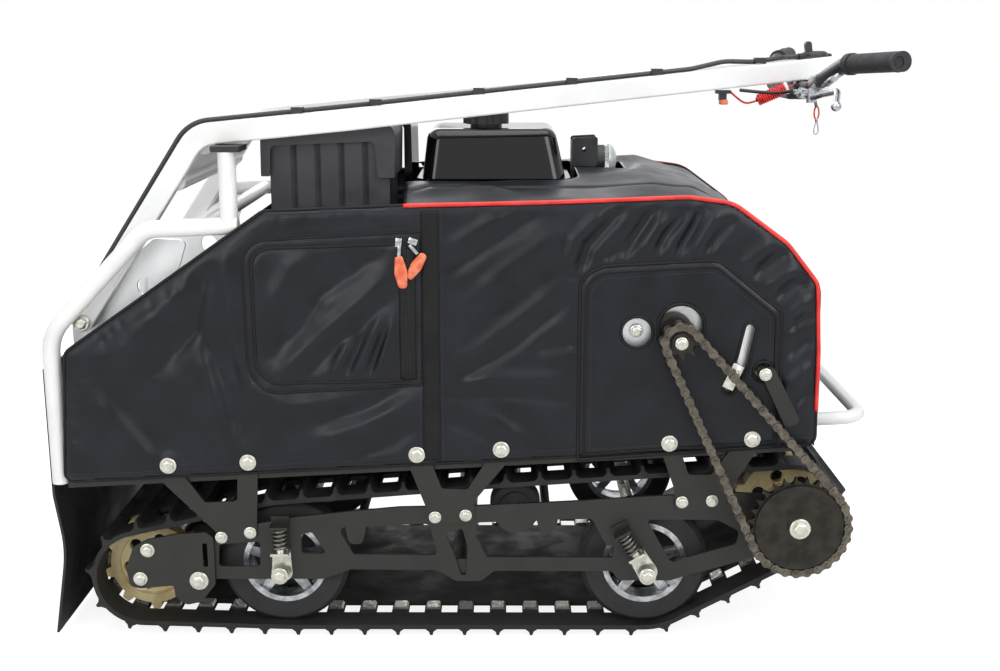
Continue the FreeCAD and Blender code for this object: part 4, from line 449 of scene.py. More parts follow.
THREAD_MM = 2.0
cover_fabric = woven_finish("coated_woven_polyester", ("#0B0D13", "#12151E"), THREAD_MM, 0.05, 0.3, 0.4,
                            IOR=1.5, Specular_IOR_Level=0.31, Sheen_Weight=0.05,
                            Sheen_Roughness=0.3, Sheen_Tint=linear("#8FA0C8"))
webbing = woven_finish("woven_polyester_webbing", ("#08090A", "#0E0F11"), 2.6, 0.15, 0.62, 0.78, IOR=1.5,
                       Specular_IOR_Level=0.3)
binding = woven_finish("woven_binding_tape", ("#060607", "#0B0C0E"), 1.6, 0.06, 0.5, 0.66, IOR=1.5,
                       Specular_IOR_Level=0.3)
red_piping = simple_finish("red_vinyl_piping", ("#D22422", "#E8382F"), 30.0, 0.3, 0.42, 1.2, 0.03, IOR=1.53)
# Dyed orange hide; the paler second tone of its patches is painted highlight.
orange_hide_and_highlight = simple_finish("orange_leather_painted_highlight", ("#D8603A", "#E98A66"), 9.0, 0.42, 0.6, 1.3, 0.12,
                            IOR=1.5)
thread = simple_finish("bonded_polyester_thread", ("#2E3036", "#3C3F46"), 3.0, 0.45, 0.6, 0.5, 0.02,
                       IOR=1.5)
zip_coil = simple_finish("moulded_black_zip_coil", ("#0E0F11", "#191A1D"), 4.0, 0.3, 0.45, 0.8, 0.03,
                         IOR=1.53)
print(len(bpy.data.materials), "materials")

# %% [markdown]
# ## Dress the CAD nodes
# Where a CAD solid has the right shape, it stays and only gets its finish. The table goes from each
# finish to the nodes that wear it. What it leaves out is replaced by a piece further down.

# %% Finishes of the CAD nodes
DRESS = {
    track_rubber: ("track_belt",),
    tyre_rubber: ("road_tyres", "return_rollers"),
    flap_rubber: ("mud_flap", "guard_pads"),
    grip_rubber: ("grips",),
    cable_jacket: ("control_cables",),
    ochre_urethane: ("idler_wheels", "drive_wheels"),
    black_abs: ("fuel_cap", "headlight_housing", "throttle_control", "cable_clips", "handlebar_clamp",
                "kill_switch"),
    filter_abs: ("air_filter_box",),
    white_powder: ("rear_guard_right", "rear_guard_left", "rear_guard_cross", "front_bumper", "tow_hitch",
                   "drawbar_rail_right", "drawbar_rail_left", "drawbar_cross_tubes"),
    black_powder: ("side_frame_right", "side_frame_left", "hanger_brackets", "idler_arms", "cross_members",
                   "reverse_lever", "chassis_tray"),
    black_enamel: ("handlebar",),
    gloss_enamel: ("fuel_tank", "engine_shroud"),
    zinc_plate: ("axles", "drive_shaft", "track_clips"),
    spring_seat: ("spring_yokes",),
    spring_steel: ("suspension_springs",),
    bright_steel: ("gearbox_plate", "pivot_brackets"),
    chain_steel: ("drive_chain",),
    sprocket_steel: ("driven_sprocket", "drive_pinion"),
    rim_aluminium: ("road_rims",),
    cast_engine: ("engine_block",),
    lever_aluminium: ("brake_lever",),
    clear_lens: ("headlight_lens",),
}
for finish, names in DRESS.items():
    for name in names:
        slots = NODES[name].material_slots
        if not slots:
            NODES[name].data.materials.append(finish)
        for material_slot in slots:
            material_slot.material = finish
lanyard.data.materials.append(red_urethane)
dressed = {name for names in DRESS.values() for name in names}
print("nodes not dressed:", sorted(set(NODES) - dressed))

# %% [markdown]
# ## Cover
# The cover is sewn from flat panels: two sides and one long strip over the nose. Each panel is a
# fine grid cut to the panel's outline, then pushed out and in along its folds, seams and puckers.
# That gives folds where the cloth is really pulled, from seam to seam, which a simulation of this
# taut, strapped-down cover would not find by itself.

# %% Outlines
def rounded(corners, steps=7):
    """Closed outline through corners (x, z, radius), with arcs at the corners."""
    outline = []
    count = len(corners)
    for i, (x, z, radius) in enumerate(corners):
        here = Vector((x, z))
        back = (Vector(corners[i - 1][:2]) - here).normalized()
        ahead = (Vector(corners[(i + 1) % count][:2]) - here).normalized()
        half = back.angle(ahead) / 2.0
        reach = radius / math.tan(half)
        if radius < 1.0:
            outline.append(here)
            continue
        middle = here + (back + ahead).normalized() * (radius / math.sin(half))
        start = here + back * reach - middle
        end = here + ahead * reach - middle
        sweep = start.angle(end)
        for step in range(steps + 1):
            share = step / steps
            spoke = start * math.sin((1.0 - share) * sweep) + end * math.sin(share * sweep)
            outline.append(middle + spoke / math.sin(sweep))
    return np.array([tuple(p) for p in outline])


def ring(x, z, radius, steps=28):
    """Round outline."""
    turns = [2.0 * math.pi * step / steps for step in range(steps)]
    return np.array([(x + radius * math.cos(t), z + radius * math.sin(t)) for t in turns])


print("a ring has", len(ring(0.0, 0.0, 1.0)), "points")


# %% Where a point lies
def nearest_on(points, line, closed=True):
    """For each point: distance to a line, its nearest place, the side it lies on and the share run."""
    ends = np.roll(line, -1, axis=0) if closed else line[1:]
    starts = line if closed else line[:-1]
    lengths = np.linalg.norm(ends - starts, axis=1)
    before = np.concatenate(([0.0], np.cumsum(lengths)[:-1]))
    best = np.full(len(points), 1e9)
    place = np.zeros_like(points)
    side = np.zeros(len(points))
    share = np.zeros(len(points))
    for a, b, length, run in zip(starts, ends, lengths, before):
        along = np.clip(((points - a) @ (b - a)) / max(length * length, 1e-9), 0.0, 1.0)
        foot = a + along[:, None] * (b - a)
        gap = np.linalg.norm(points - foot, axis=1)
        closer = gap < best
        best[closer] = gap[closer]
        place[closer] = foot[closer]
        share[closer] = ((run + along * length) / lengths.sum())[closer]
        cross = (b - a)[0] * (points - a)[:, 1] - (b - a)[1] * (points - a)[:, 0]
        side[closer] = np.sign(cross)[closer]
    return best, place, side, share


def inside(points, loops):
    """True where a point is inside an odd number of loops."""
    result = np.zeros(len(points), bool)
    for loop in loops:
        for a, b in zip(loop, np.roll(loop, -1, axis=0)):
            crosses = (a[1] > points[:, 1]) != (b[1] > points[:, 1])
            rise = b[1] - a[1] if abs(b[1] - a[1]) > 1e-9 else 1e-9
            at_x = a[0] + (points[:, 1] - a[1]) / rise * (b[0] - a[0])
            result ^= crosses & (points[:, 0] < at_x)
    return result


print("middle of a ring is inside it:", bool(inside(np.zeros((1, 2)), [ring(0.0, 0.0, 1.0)])[0]))

# %% Panel grid
SNAP_SHARE = 0.56


def cut_grid(loops, step):
    """Grid of squares trimmed to the first loop and open inside the others."""
    low, high = loops[0].min(axis=0), loops[0].max(axis=0)
    across = int((high[0] - low[0]) / step) + 2
    up = int((high[1] - low[1]) / step) + 2
    xs = low[0] + np.arange(across + 1) * (high[0] - low[0]) / across
    zs = low[1] + np.arange(up + 1) * (high[1] - low[1]) / up
    points = np.array([(x, z) for z in zs for x in xs])
    keep = inside(points, loops)
    for loop in loops:
        gap, place = nearest_on(points, loop)[:2]
        near = gap < SNAP_SHARE * step
        points[near] = place[near]
        keep |= near
    faces = []
    for j in range(up):
        for i in range(across):
            corner = j * (across + 1) + i
            face = [c for c in (corner, corner + 1, corner + across + 2, corner + across + 1) if keep[c]]
            if len(face) >= 3:
                faces.append(face)
    centres = np.array([points[face].mean(axis=0) for face in faces])
    faces = [face for face, good in zip(faces, inside(centres, loops)) if good]
    return points, faces


print("panel grid ready")

# %% [markdown]
# ### Folds
# A fold is a soft ridge or valley along a short line, fading at its ends. The numbers are its
# height and half width in millimetres; a minus sign makes a valley. Folds start at seams, at the
# corners of the stiff drive panel and where the bolts pull the cloth down.

# %% Folds of the side
FOLDS = (
    # points of the line, height, half width
    (((-500, 425), (-420, 500), (-340, 575)), 7.0, 24),
    (((-415, 425), (-372, 480), (-337, 590)), -7.0, 15),
    (((-520, 395), (-470, 330), (-428, 268)), 5.0, 17),
    (((-480, 395), (-430, 330), (-395, 275)), -4.0, 22),
    (((-362, 470), (-345, 400), (-322, 300)), 4.5, 15),
    (((-345, 470), (-322, 390), (-305, 310)), -5.5, 12),
    (((-318, 590), (-312, 480), (-290, 400), (-240, 372), (-120, 380)), 4.5, 11),
    (((-330, 560), (-322, 470), (-300, 385)), -4.0, 10),
    (((-210, 312), (-130, 340), (-45, 388)), 6.5, 19),
    (((-190, 345), (-120, 366), (-48, 402)), -5.0, 14),
    (((-150, 292), (-90, 312), (-45, 345)), -4.0, 15),
    (((-255, 408), (-180, 478), (-85, 558)), 6.5, 16),
    (((-252, 445), (-190, 530), (-95, 592)), -6.0, 15),
    (((-215, 412), (-140, 480), (-68, 545)), -6.0, 14),
    (((-262, 500), (-225, 570), (-190, 598)), 3.5, 17),
    (((-172, 408), (-160, 440), (-146, 470)), 4.0, 8),
    (((-142, 408), (-122, 450), (-98, 505)), 4.5, 8),
    (((-108, 408), (-96, 450), (-80, 505)), 4.5, 7),
    (((-156, 408), (-138, 446), (-122, 480)), -4.0, 6),
    (((-124, 408), (-108, 446), (-90, 490)), -4.0, 6),
    (((-16, 408), (80, 480), (172, 556)), 6.5, 20),
    (((-8, 400), (90, 462), (176, 535)), -7.5, 15),
    (((-14, 402), (70, 408), (174, 412)), 5.0, 15),
    (((-8, 388), (70, 390), (174, 378)), -4.5, 13),
    (((-10, 560), (50, 603), (125, 648)), -5.0, 15),
    (((-12, 590), (40, 622), (90, 655)), 4.0, 17),
    (((20, 520), (90, 575), (170, 640)), 4.5, 22),
    (((-14, 372), (60, 350), (110, 312)), 4.0, 16),
    (((-12, 350), (40, 330), (80, 300)), -4.0, 13),
    (((118, 452), (150, 457), (178, 462)), -4.0, 10),
    (((176, 548), (192, 600), (246, 662)), -6.5, 9),
    (((160, 560), (174, 612), (222, 662)), 5.0, 12),
    (((240, 582), (254, 608), (286, 658)), -7.5, 7),
    (((264, 588), (280, 616), (298, 648)), 4.0, 9),
    (((284, 586), (300, 618), (332, 652)), -5.0, 6),
    (((300, 584), (322, 624), (340, 662)), 4.5, 8),
    (((312, 584), (338, 630), (352, 666)), -7.0, 8),
    (((334, 586), (356, 628), (376, 660)), 5.0, 8),
    (((356, 590), (372, 614), (396, 640)), -4.5, 6),
    (((215, 578), (228, 592), (240, 600)), -4.0, 7),
    (((404, 572), (430, 596), (452, 618)), 4.0, 10),
    (((424, 556), (452, 582), (478, 598)), -5.5, 8),
    (((440, 540), (470, 566), (498, 575)), 4.0, 9),
    (((456, 524), (484, 548), (512, 552)), -5.5, 8),
    (((474, 500), (494, 522), (518, 528)), 4.0, 9),
    (((476, 480), (496, 498), (522, 504)), -5.0, 8),
    (((478, 440), (498, 462), (522, 470)), -5.0, 9),
    (((478, 400), (500, 424), (522, 432)), 4.0, 10),
    (((480, 362), (500, 384), (522, 394)), -4.5, 9),
)
PUCKERS = (
    # where a row of small puckers starts, its step, its run, how many, height
    ((-506, 480), (14, 11.5), (11, -19), 3, -2.6),
    ((-430, 532), (21, 14.0), (9, -24), 3, -1.8),
    ((-557, 322), (0.5, 26), (17, -3), 4, -1.8),
    ((-236, 651), (39, 1.2), (-4, -17), 4, -1.3),
)
print(len(FOLDS), "folds,", len(PUCKERS), "rows of puckers")

# %% Seams of the side
DRIVE_PANEL = rounded([(181, 289, 0.5), (181, 560, 34), (216, 573, 26), (374, 582, 26), (466, 508, 20),
                       (470, 309, 0.5)])
POCKET_OUTER = rounded([(-292, 608, 34), (-40, 622, 3), (-42, 400, 3), (-250, 389, 44), (-292, 400, 50)])
POCKET_INNER = rounded([(-280, 597, 26), (-60, 605, 2), (-60, 408, 2), (-250, 403, 34), (-280, 412, 36)])
BOLT_PLACES = ((-413, 280), (-297, 285), (-52, 297), (70, 305), (313, 314.5), (432, 321))
print(len(BOLT_PLACES), "bolts pull the cloth down")

# %% Relief of the side
FOLD_GAIN = 1.25
FADE_SHARE, FADE_FLOOR = 0.22, 0.2
STEEP_SIDE, GENTLE_SIDE = 0.8, 1.45


def fold_height(points, line, height, width):
    """Height of one fold at each point; it fades towards both ends."""
    gap, place, side, share = nearest_on(points, np.array(line, float), closed=False)
    fade = np.clip(share / FADE_SHARE, 0.0, 1.0) * np.clip((1.0 - share) / FADE_SHARE, 0.0, 1.0)
    sharp = width * np.where(side * np.sign(height) > 0.0, STEEP_SIDE, GENTLE_SIDE)
    return FOLD_GAIN * height * (FADE_FLOOR + 0.8 * fade) * np.exp(-(gap / sharp) ** 2)


WANDER_MM = ((85.0, 3.2, 0.0), (24.0, 0.7, 5.0))  # size, height and shift of slow waves in the cloth
PANEL_CALM, CALM_WIDTH = 0.93, 16.0
PANEL_RISE, PANEL_RAMP = 2.0, 6.0
SEAM_DEPTH, SEAM_WIDTH = 2.4, 3.6
PUCKER_WIDTH = 4.5
BOLT_DIMPLE = 17.0


def side_relief(points, drift):
    """How far the side's cloth stands out from its flat panel, in millimetres."""
    rise = np.zeros(len(points))
    for line, height, width in FOLDS:
        rise += fold_height(points, line, height, width)
    for start, step, run, count, height in PUCKERS:
        for i in range(count):
            foot = (start[0] + step[0] * i, start[1] + step[1] * i)
            rise += fold_height(points, (foot, (foot[0] + run[0], foot[1] + run[1])), height,
                                PUCKER_WIDTH)
    rise += np.array([sum(noise.noise(Vector((x / size, z / size, drift + shift))) * height
                          for size, height, shift in WANDER_MM) for x, z in points])
    gap = nearest_on(points, DRIVE_PANEL)[0]
    deep = inside(points, [DRIVE_PANEL])
    calm = np.where(deep, 1.0 - np.clip(gap / CALM_WIDTH, 0.0, 1.0) * PANEL_CALM, 1.0)
    rise = rise * calm + np.where(deep, PANEL_RISE * np.clip(gap / PANEL_RAMP, 0.0, 1.0), 0.0)
    rise -= SEAM_DEPTH * np.exp(-(gap / SEAM_WIDTH) ** 2)
    for loop, height, width in ((POCKET_OUTER, -2.2, 3.4), (POCKET_INNER, -1.8, 3.2)):
        gap = nearest_on(points, loop)[0]
        rise += height * np.exp(-(gap / width) ** 2)
    for x, z in BOLT_PLACES:
        far = np.hypot(points[:, 0] - x, points[:, 1] - z)
        rise -= (rise + 0.5) * np.exp(-(far / BOLT_DIMPLE) ** 4)
    return rise


print("stands out", round(float(side_relief(np.array([(80.0, 480.0)]), 0.0)[0]), 1), "mm on the long fold")

# %% [markdown]
# ### Side panels
# The right side has bound openings for the chain pinion, an inspection plate, the reverse lever
# and its pivot. The left side is the same panel without them. The cloth lies in the space of the
# CAD panel, its outer face at the CAD face, and Solidify gives it the thickness of the lined cloth.

# %% Outlines of the side
CLOTH_STEP = 3.8
CLOTH_MM = 1.8
SIDE_FACE_Y = 275.0
PINION_HOLE = (324.1, 486.9, 33.0)
PLATE_HOLE = (262.0, 479.0, 23.0)
LEVER_HOLE = (443.0, 422.0, 14.0)
SLOT = rounded([(384, 392, 8), (401, 386, 8), (421, 425, 40), (432, 488, 8), (416, 498, 8),
                (404, 440, 40)], 4)
SIDE_OUTLINE = rounded([(-566, 253.2, 12), (524, 311.0, 14), (518, 545, 40), (470, 605, 50), (392, 662, 60),
                        (330, 670, 60), (150, 663, 60), (-66, 658, 30), (-262, 650, 14), (-553, 447, 18)])
OPENINGS = [ring(*PINION_HOLE), ring(*PLATE_HOLE), ring(*LEVER_HOLE, steps=20), SLOT]
print(len(OPENINGS), "openings in the right side")


# %% Piece helpers
MERGE_GAP = 0.05 * MM


def mesh_piece(name, verts, faces, finish, body, slot):
    """New object from points and faces, smooth, riding on a body."""
    mesh = bpy.data.meshes.new(name)
    mesh.from_pydata([tuple(v) for v in verts], [], [list(f) for f in faces])
    work = bmesh.new()
    work.from_mesh(mesh)
    bmesh.ops.remove_doubles(work, verts=work.verts, dist=MERGE_GAP)
    bmesh.ops.dissolve_degenerate(work, edges=work.edges, dist=MERGE_GAP)
    bmesh.ops.delete(work, geom=[v for v in work.verts if not v.link_faces], context="VERTS")
    bmesh.ops.recalc_face_normals(work, faces=work.faces)
    work.to_mesh(mesh)
    work.free()
    mesh.shade_smooth()
    piece = bpy.data.objects.new(name, mesh)
    bpy.context.scene.collection.objects.link(piece)
    mesh.materials.append(finish)
    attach(piece, body)
    return piece


def apply_all(piece):
    """Applies every modifier of a piece."""
    bpy.ops.object.select_all(action="DESELECT")
    bpy.context.view_layer.objects.active = piece
    piece.select_set(True)
    for modifier in list(piece.modifiers):
        bpy.ops.object.modifier_apply(modifier=modifier.name)
    piece.select_set(False)


def thicken(piece, thickness_mm, outward):
    """Gives a one-sided cloth its thickness behind its outer face, and turns it outwards."""
    facing = sum((p.normal * p.area for p in piece.data.polygons), Vector())
    if facing.dot(Vector(outward)) < 0.0:
        piece.data.flip_normals()
    wall = piece.modifiers.new("cloth", "SOLIDIFY")
    wall.thickness = thickness_mm * MM
    wall.offset = -1.0
    apply_all(piece)
    piece.data.shade_smooth()


print("piece helpers ready")


# %% Sew the sides
EDGE_TUCK, TUCK_WIDTH = 5.0, 14.0
EDGE_CALM, CALM_FLOOR = 22.0, 0.25
RISE_LIMITS = (-6.0, 11.0)


def side_place(x, z, rise, side, lift=0.0):
    """Place of a point on the side's outer face."""
    return at(x, side * (SIDE_FACE_Y + rise + lift), z)


def side_rise(points, drift):
    """Relief with the edges tucked in towards the frame."""
    points = np.asarray(points, float)
    gap = nearest_on(points, SIDE_OUTLINE)[0]
    tuck = np.clip(1.0 - gap / TUCK_WIDTH, 0.0, 1.0) ** 2 * EDGE_TUCK
    calm = np.clip(gap / EDGE_CALM, CALM_FLOOR, 1.0)
    return np.clip(side_relief(points, drift) * calm - tuck, *RISE_LIMITS)


SIDES = (("right", -1.0, OPENINGS, 0.0), ("left", 1.0, [], 40.0))
for word, side, holes, drift in SIDES:
    points, faces = cut_grid([SIDE_OUTLINE] + holes, CLOTH_STEP)
    rise = side_rise(points, drift)
    places = [side_place(x, z, r, side) for (x, z), r in zip(points, rise)]
    panel = mesh_piece("cover_panel_" + word, places, faces, cover_fabric, "chassis", "cover_fabric")
    thicken(panel, CLOTH_MM, (0.0, side, 0.0))
    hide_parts("cover_" + word)
    flat_area = sum(p.area for p in panel.data.polygons) / 2.0
    print(panel.name, len(panel.data.polygons), "faces", round(flat_area, 4), "square metres")

# %% [markdown]
# ### Hood
# One strip of the same cloth runs over the engine and down the nose, from one side panel to the
# other. It is crowned over the frame hoop, has openings for the tank, the lamp and the bumper's
# tubes, and a seam on each side where the strip is let out to follow the crown. It is cut flat too:
# one helper turns a length along the strip and a place across it into a place on the machine.

# %% Line of the hood
HOOD_EDGE = rounded([(-66, 250, 0.5), (-66, 656, 2), (150, 661, 60), (330, 668, 60), (392, 660, 60),
                     (470, 603, 50), (517, 544, 40), (522.5, 311, 0.5), (300, 250, 0.5)])
hood_start = int(np.argmin(np.hypot(HOOD_EDGE[:, 0] + 66, HOOD_EDGE[:, 1] - 656)))
hood_stop = int(np.argmin(np.hypot(HOOD_EDGE[:, 0] - 522.5, HOOD_EDGE[:, 1] - 311)))
HOOD_LINE = HOOD_EDGE[hood_start:hood_stop + 1]
HOOD_RUN = np.concatenate(([0.0], np.cumsum(np.linalg.norm(np.diff(HOOD_LINE, axis=0), axis=1))))
HOOD_HALF = 272.0
CROWN_X, CROWN_MM, CROWN_POWER = (-66, 0, 290, 345, 380), (32, 31, 26, 12, 0), 2.4
SLOPE_REACH = 4.0


def hood_place(run, y, rise):
    """Place on the hood: how far along its edge line, how far across, how far out."""
    x = np.interp(run, HOOD_RUN, HOOD_LINE[:, 0])
    z = np.interp(run, HOOD_RUN, HOOD_LINE[:, 1])
    back, front = run - SLOPE_REACH, run + SLOPE_REACH
    ahead, climb = (np.interp(front, HOOD_RUN, HOOD_LINE[:, i]) - np.interp(back, HOOD_RUN, HOOD_LINE[:, i])
                    for i in (0, 1))
    length = math.hypot(ahead, climb)
    crown = np.interp(x, CROWN_X, CROWN_MM) * (1.0 - (abs(y) / HOOD_HALF) ** CROWN_POWER)
    out = crown + rise
    return at(x - climb / length * out, y, z + ahead / length * out)


def run_at(x=None, z=None):
    """Distance along the hood's edge line at a place on the top (x) or on the nose (z)."""
    if x is not None:
        return float(np.interp(x, HOOD_LINE[:, 0], HOOD_RUN))
    return float(np.interp(-z, -HOOD_LINE[:, 1][len(HOOD_LINE) // 2:], HOOD_RUN[len(HOOD_LINE) // 2:]))


hood_end = float(HOOD_RUN[-1])
print("hood line", round(hood_end), "mm long")

# %% Openings and folds of the hood
TANK_HOLE = rounded([(run_at(x=-66) - 20, -158, 8), (run_at(x=184), -158, 20), (run_at(x=184), 86, 20),
                     (run_at(x=-66) - 20, 86, 8)])
LAMP_HOLE = rounded([(run_at(x=186), -46, 6), (run_at(x=262), -46, 14), (run_at(x=262), 46, 14),
                     (run_at(x=186), 46, 6)])
BUMPER_HOLES = [ring(run_at(z=335.5), y, 14.0, 20) for y in (-215.0, 215.0)]
hood_outline = rounded([(0, -HOOD_HALF, 0.5), (hood_end, -HOOD_HALF, 0.5), (hood_end, HOOD_HALF, 0.5),
                        (0, HOOD_HALF, 0.5)])
HOOD_FOLDS = (
    (((5, -225), (70, -200), (150, -215)), 5.0, 11),
    (((2, -205), (60, -185), (120, -190)), -4.0, 9),
    (((10, 150), (90, 190), (190, 200)), 4.5, 14),
    (((262, -120), (330, -60), (352, 60)), -3.5, 16),
    (((250, 120), (330, 90), (390, 130)), 4.0, 18),
    (((395, -250), (430, -120), (420, 40)), 3.5, 16),
    (((470, -262), (500, -130), (488, 30)), -3.5, 14),
    (((560, -265), (600, -120), (590, 60), (620, 200)), 3.5, 20),
    (((690, -240), (720, -60), (700, 150)), -3.0, 24),
)
print(len(HOOD_FOLDS), "folds in the hood")

# %% Sew the hood
HOOD_WAVE, HOOD_WAVE_MM, HOOD_DRIFT = 75.0, 3.0, 80.0
HOOD_SEAM_Y, HOOD_SEAM_DEPTH = 200.0, 2.6
HOOD_BORDER = 24.0
HOOD_LIMITS = (-5.0, 7.0)
hood_points, hood_faces = cut_grid([hood_outline, TANK_HOLE, LAMP_HOLE] + BUMPER_HOLES, CLOTH_STEP)
hood_rise = np.zeros(len(hood_points))
for line, height, width in HOOD_FOLDS:
    hood_rise += fold_height(hood_points, line, height, width)
hood_rise += np.array([noise.noise(Vector((u / HOOD_WAVE, y / HOOD_WAVE, HOOD_DRIFT))) * HOOD_WAVE_MM
                       for u, y in hood_points])
for seam in (-HOOD_SEAM_Y, HOOD_SEAM_Y):
    hood_rise -= HOOD_SEAM_DEPTH * np.exp(-((hood_points[:, 1] - seam) / SEAM_WIDTH) ** 2)
border = np.minimum(HOOD_HALF - np.abs(hood_points[:, 1]), HOOD_BORDER) / HOOD_BORDER
hood_rise = np.clip(hood_rise * border, *HOOD_LIMITS)
hood_places = [hood_place(u, y, r) for (u, y), r in zip(hood_points, hood_rise)]
hood = mesh_piece("cover_hood_cloth", hood_places, hood_faces, cover_fabric, "chassis", "cover_fabric")
thicken(hood, CLOTH_MM, (0.3, 0.0, 1.0))
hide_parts("cover_hood")
print(hood.name, len(hood.data.polygons), "faces")

# %% [markdown]
# ### Bindings, piping and seams
# Raw edges of the cloth are bound with woven tape, the long top seam is filled with red vinyl
# piping, and the stiff drive panel and the pocket are outlined by taped seams. All of them are
# swept along the same lines as the panels, so they lie on the cloth and follow its folds.

# %% Tubes along lines
def sweep(line, radius, sides=8, closed=False, flat=1.0, out=None):
    """Points and faces of a tube along a line in metres; flat squashes it towards out."""
    line = [Vector(p) for p in line]
    count = len(line)
    verts, faces = [], []
    across = None
    for i, place in enumerate(line):
        before = line[i - 1] if (i or closed) else place
        after = line[(i + 1) % count] if (i < count - 1 or closed) else place
        ahead = (after - before).normalized()
        if out is not None:
            across = ahead.cross(Vector(out)).normalized()
        elif across is None:
            across = ahead.orthogonal().normalized()
        else:
            across = (across - ahead * across.dot(ahead)).normalized()
        up = across.cross(ahead)
        size = radius[i] if isinstance(radius, (list, tuple)) else radius
        for k in range(sides):
            turn = 2.0 * math.pi * k / sides
            verts.append(place + (across * math.cos(turn) + up * math.sin(turn) * flat) * size)
    for i in range(count if closed else count - 1):
        for k in range(sides):
            a, b = i * sides, ((i + 1) % count) * sides
            faces.append((a + k, a + (k + 1) % sides, b + (k + 1) % sides, b + k))
    if not closed:
        faces.append(tuple(range(sides)))
        faces.append(tuple(range((count - 1) * sides, count * sides)))
    return verts, faces


def joined(parts):
    """Several (points, faces) as one."""
    verts, faces = [], []
    for more, loops in parts:
        faces += [tuple(i + len(verts) for i in loop) for loop in loops]
        verts += more
    return verts, faces


print("a short tube has", len(sweep([(0, 0, 0), (0, 0, 1)], 0.1)[1]), "faces")


# %% Lines on the cloth
def spaced(line, step, closed=True):
    """The same 2-D line with a point about every step."""
    line = np.vstack([line, line[:1]]) if closed else np.asarray(line, float)
    run = np.concatenate(([0.0], np.cumsum(np.linalg.norm(np.diff(line, axis=0), axis=1))))
    count = max(int(run[-1] / step), 3)
    marks = np.linspace(0.0, run[-1], count + 1)
    if closed:
        marks = marks[:-1]
    return np.column_stack([np.interp(marks, run, line[:, i]) for i in (0, 1)])


def on_side(line, side, drift, lift, step=5.0, closed=True):
    """A 2-D line laid on the side's cloth."""
    points = spaced(line, step, closed)
    rise = side_rise(points, drift)
    return [side_place(x, z, r, side, lift) for (x, z), r in zip(points, rise)]


STITCH_PITCH, STITCH_LENGTH, STITCH_RADIUS = 4.8 * MM, 3.1 * MM, 0.42 * MM
STITCH_START = 0.18


def stitches(line):
    """Short threads along a line in metres."""
    made = []
    radii = [STITCH_RADIUS * 0.5, STITCH_RADIUS, STITCH_RADIUS * 0.5]
    for first, second in zip(line, line[1:]):
        gap = (second - first).length
        if gap < STITCH_PITCH * 0.5:
            continue
        thread_run = (second - first).normalized() * STITCH_LENGTH
        for i in range(max(int(gap / STITCH_PITCH), 1)):
            start = first.lerp(second, (i + STITCH_START) * STITCH_PITCH / gap)
            made.append(sweep([start, start + thread_run * 0.5, start + thread_run], radii, sides=5))
    return made


print("stitches are", round(STITCH_LENGTH / MM, 1), "mm long")

# %% Lines of the seams
PIPING_RADIUS, BINDING_RADIUS = 3.0 * MM, 2.6 * MM
front_corner = int(np.argmin(np.hypot(SIDE_OUTLINE[:, 0] - 518, SIDE_OUTLINE[:, 1] - 545)))
hood_corner = int(np.argmin(np.hypot(SIDE_OUTLINE[:, 0] + 66, SIDE_OUTLINE[:, 1] - 656)))
piping_line = np.vstack([SIDE_OUTLINE[front_corner:hood_corner + 1][::-1], [(521.5, 450), (522.6, 362)]])
PANEL_SEAM = rounded([(189, 297, 0.5), (189, 556, 28), (219, 565, 22), (371, 574, 22), (458, 504, 16),
                      (462, 318, 0.5)])
PANEL_STITCHES = rounded([(197, 304, 0.5), (197, 552, 24), (222, 557, 20), (368, 566, 20), (450, 500, 14),
                          (454, 326, 0.5)])
STRAP_STITCHES = [np.array([(x, 292), (x, 650)]) for x in (-45.5, -13.5)]
HEM_STITCHES = np.array([(-556, 266), (515, 324)])
TAPED = (
    # seam, half width of its tape, height over the cloth
    (POCKET_OUTER, 2.0, 0.7),
    (POCKET_INNER, 2.4, 0.7),
    (DRIVE_PANEL, 2.8, 0.8),
    (PANEL_SEAM, 1.8, 0.8),
)
print("piping line has", len(piping_line), "points")

# %% Tape, piping and thread
for word, side, holes, drift in SIDES:
    outward = (0.0, side, 0.0)
    bound = [sweep(on_side(SIDE_OUTLINE, side, drift, -1.2), BINDING_RADIUS, 8, True)]
    for hole in holes:
        bound.append(sweep(on_side(hole, side, drift, -0.4, 3.5), BINDING_RADIUS, 8, True, 0.8, outward))
    for loop, width, lift in TAPED:
        bound.append(sweep(on_side(loop, side, drift, lift), width * MM, 8, True, 0.6, outward))
    trim = mesh_piece("cover_binding_" + word, *joined(bound), binding, "chassis", "cover_fabric")
    cord = sweep(on_side(piping_line, side, drift, 1.6, 5.0, False), PIPING_RADIUS, 10)
    piping = mesh_piece("cover_piping_" + word, *cord, red_piping, "chassis", "cover_fabric")
    threads = []
    for line in (*STRAP_STITCHES, HEM_STITCHES):
        threads += stitches(on_side(line, side, drift, 0.35, 5.0, False))
    laid = on_side(PANEL_STITCHES, side, drift, 0.35)
    threads += stitches(laid + laid[:1])
    seams = mesh_piece("cover_thread_" + word, *joined(threads), thread, "chassis", "cover_fabric")
    print(word, len(trim.data.polygons), "binding faces,", len(piping.data.polygons), "piping faces,",
          len(seams.data.polygons), "thread faces")

# %% [markdown]
# ### Strap, zip and pulls
# A strap of polyester webbing runs up each side behind the pocket. The pocket opens with a coil
# zip whose two sliders carry tabs of dyed hide, easy to find with gloves on; their paler patches are painted
# highlight.

# %% Strap and zip
STRIP_COLUMNS, STRIP_STEP = 7, 4.0
STRIP_STIFFNESS = 0.7
STRIP_EDGE_MM = 0.8


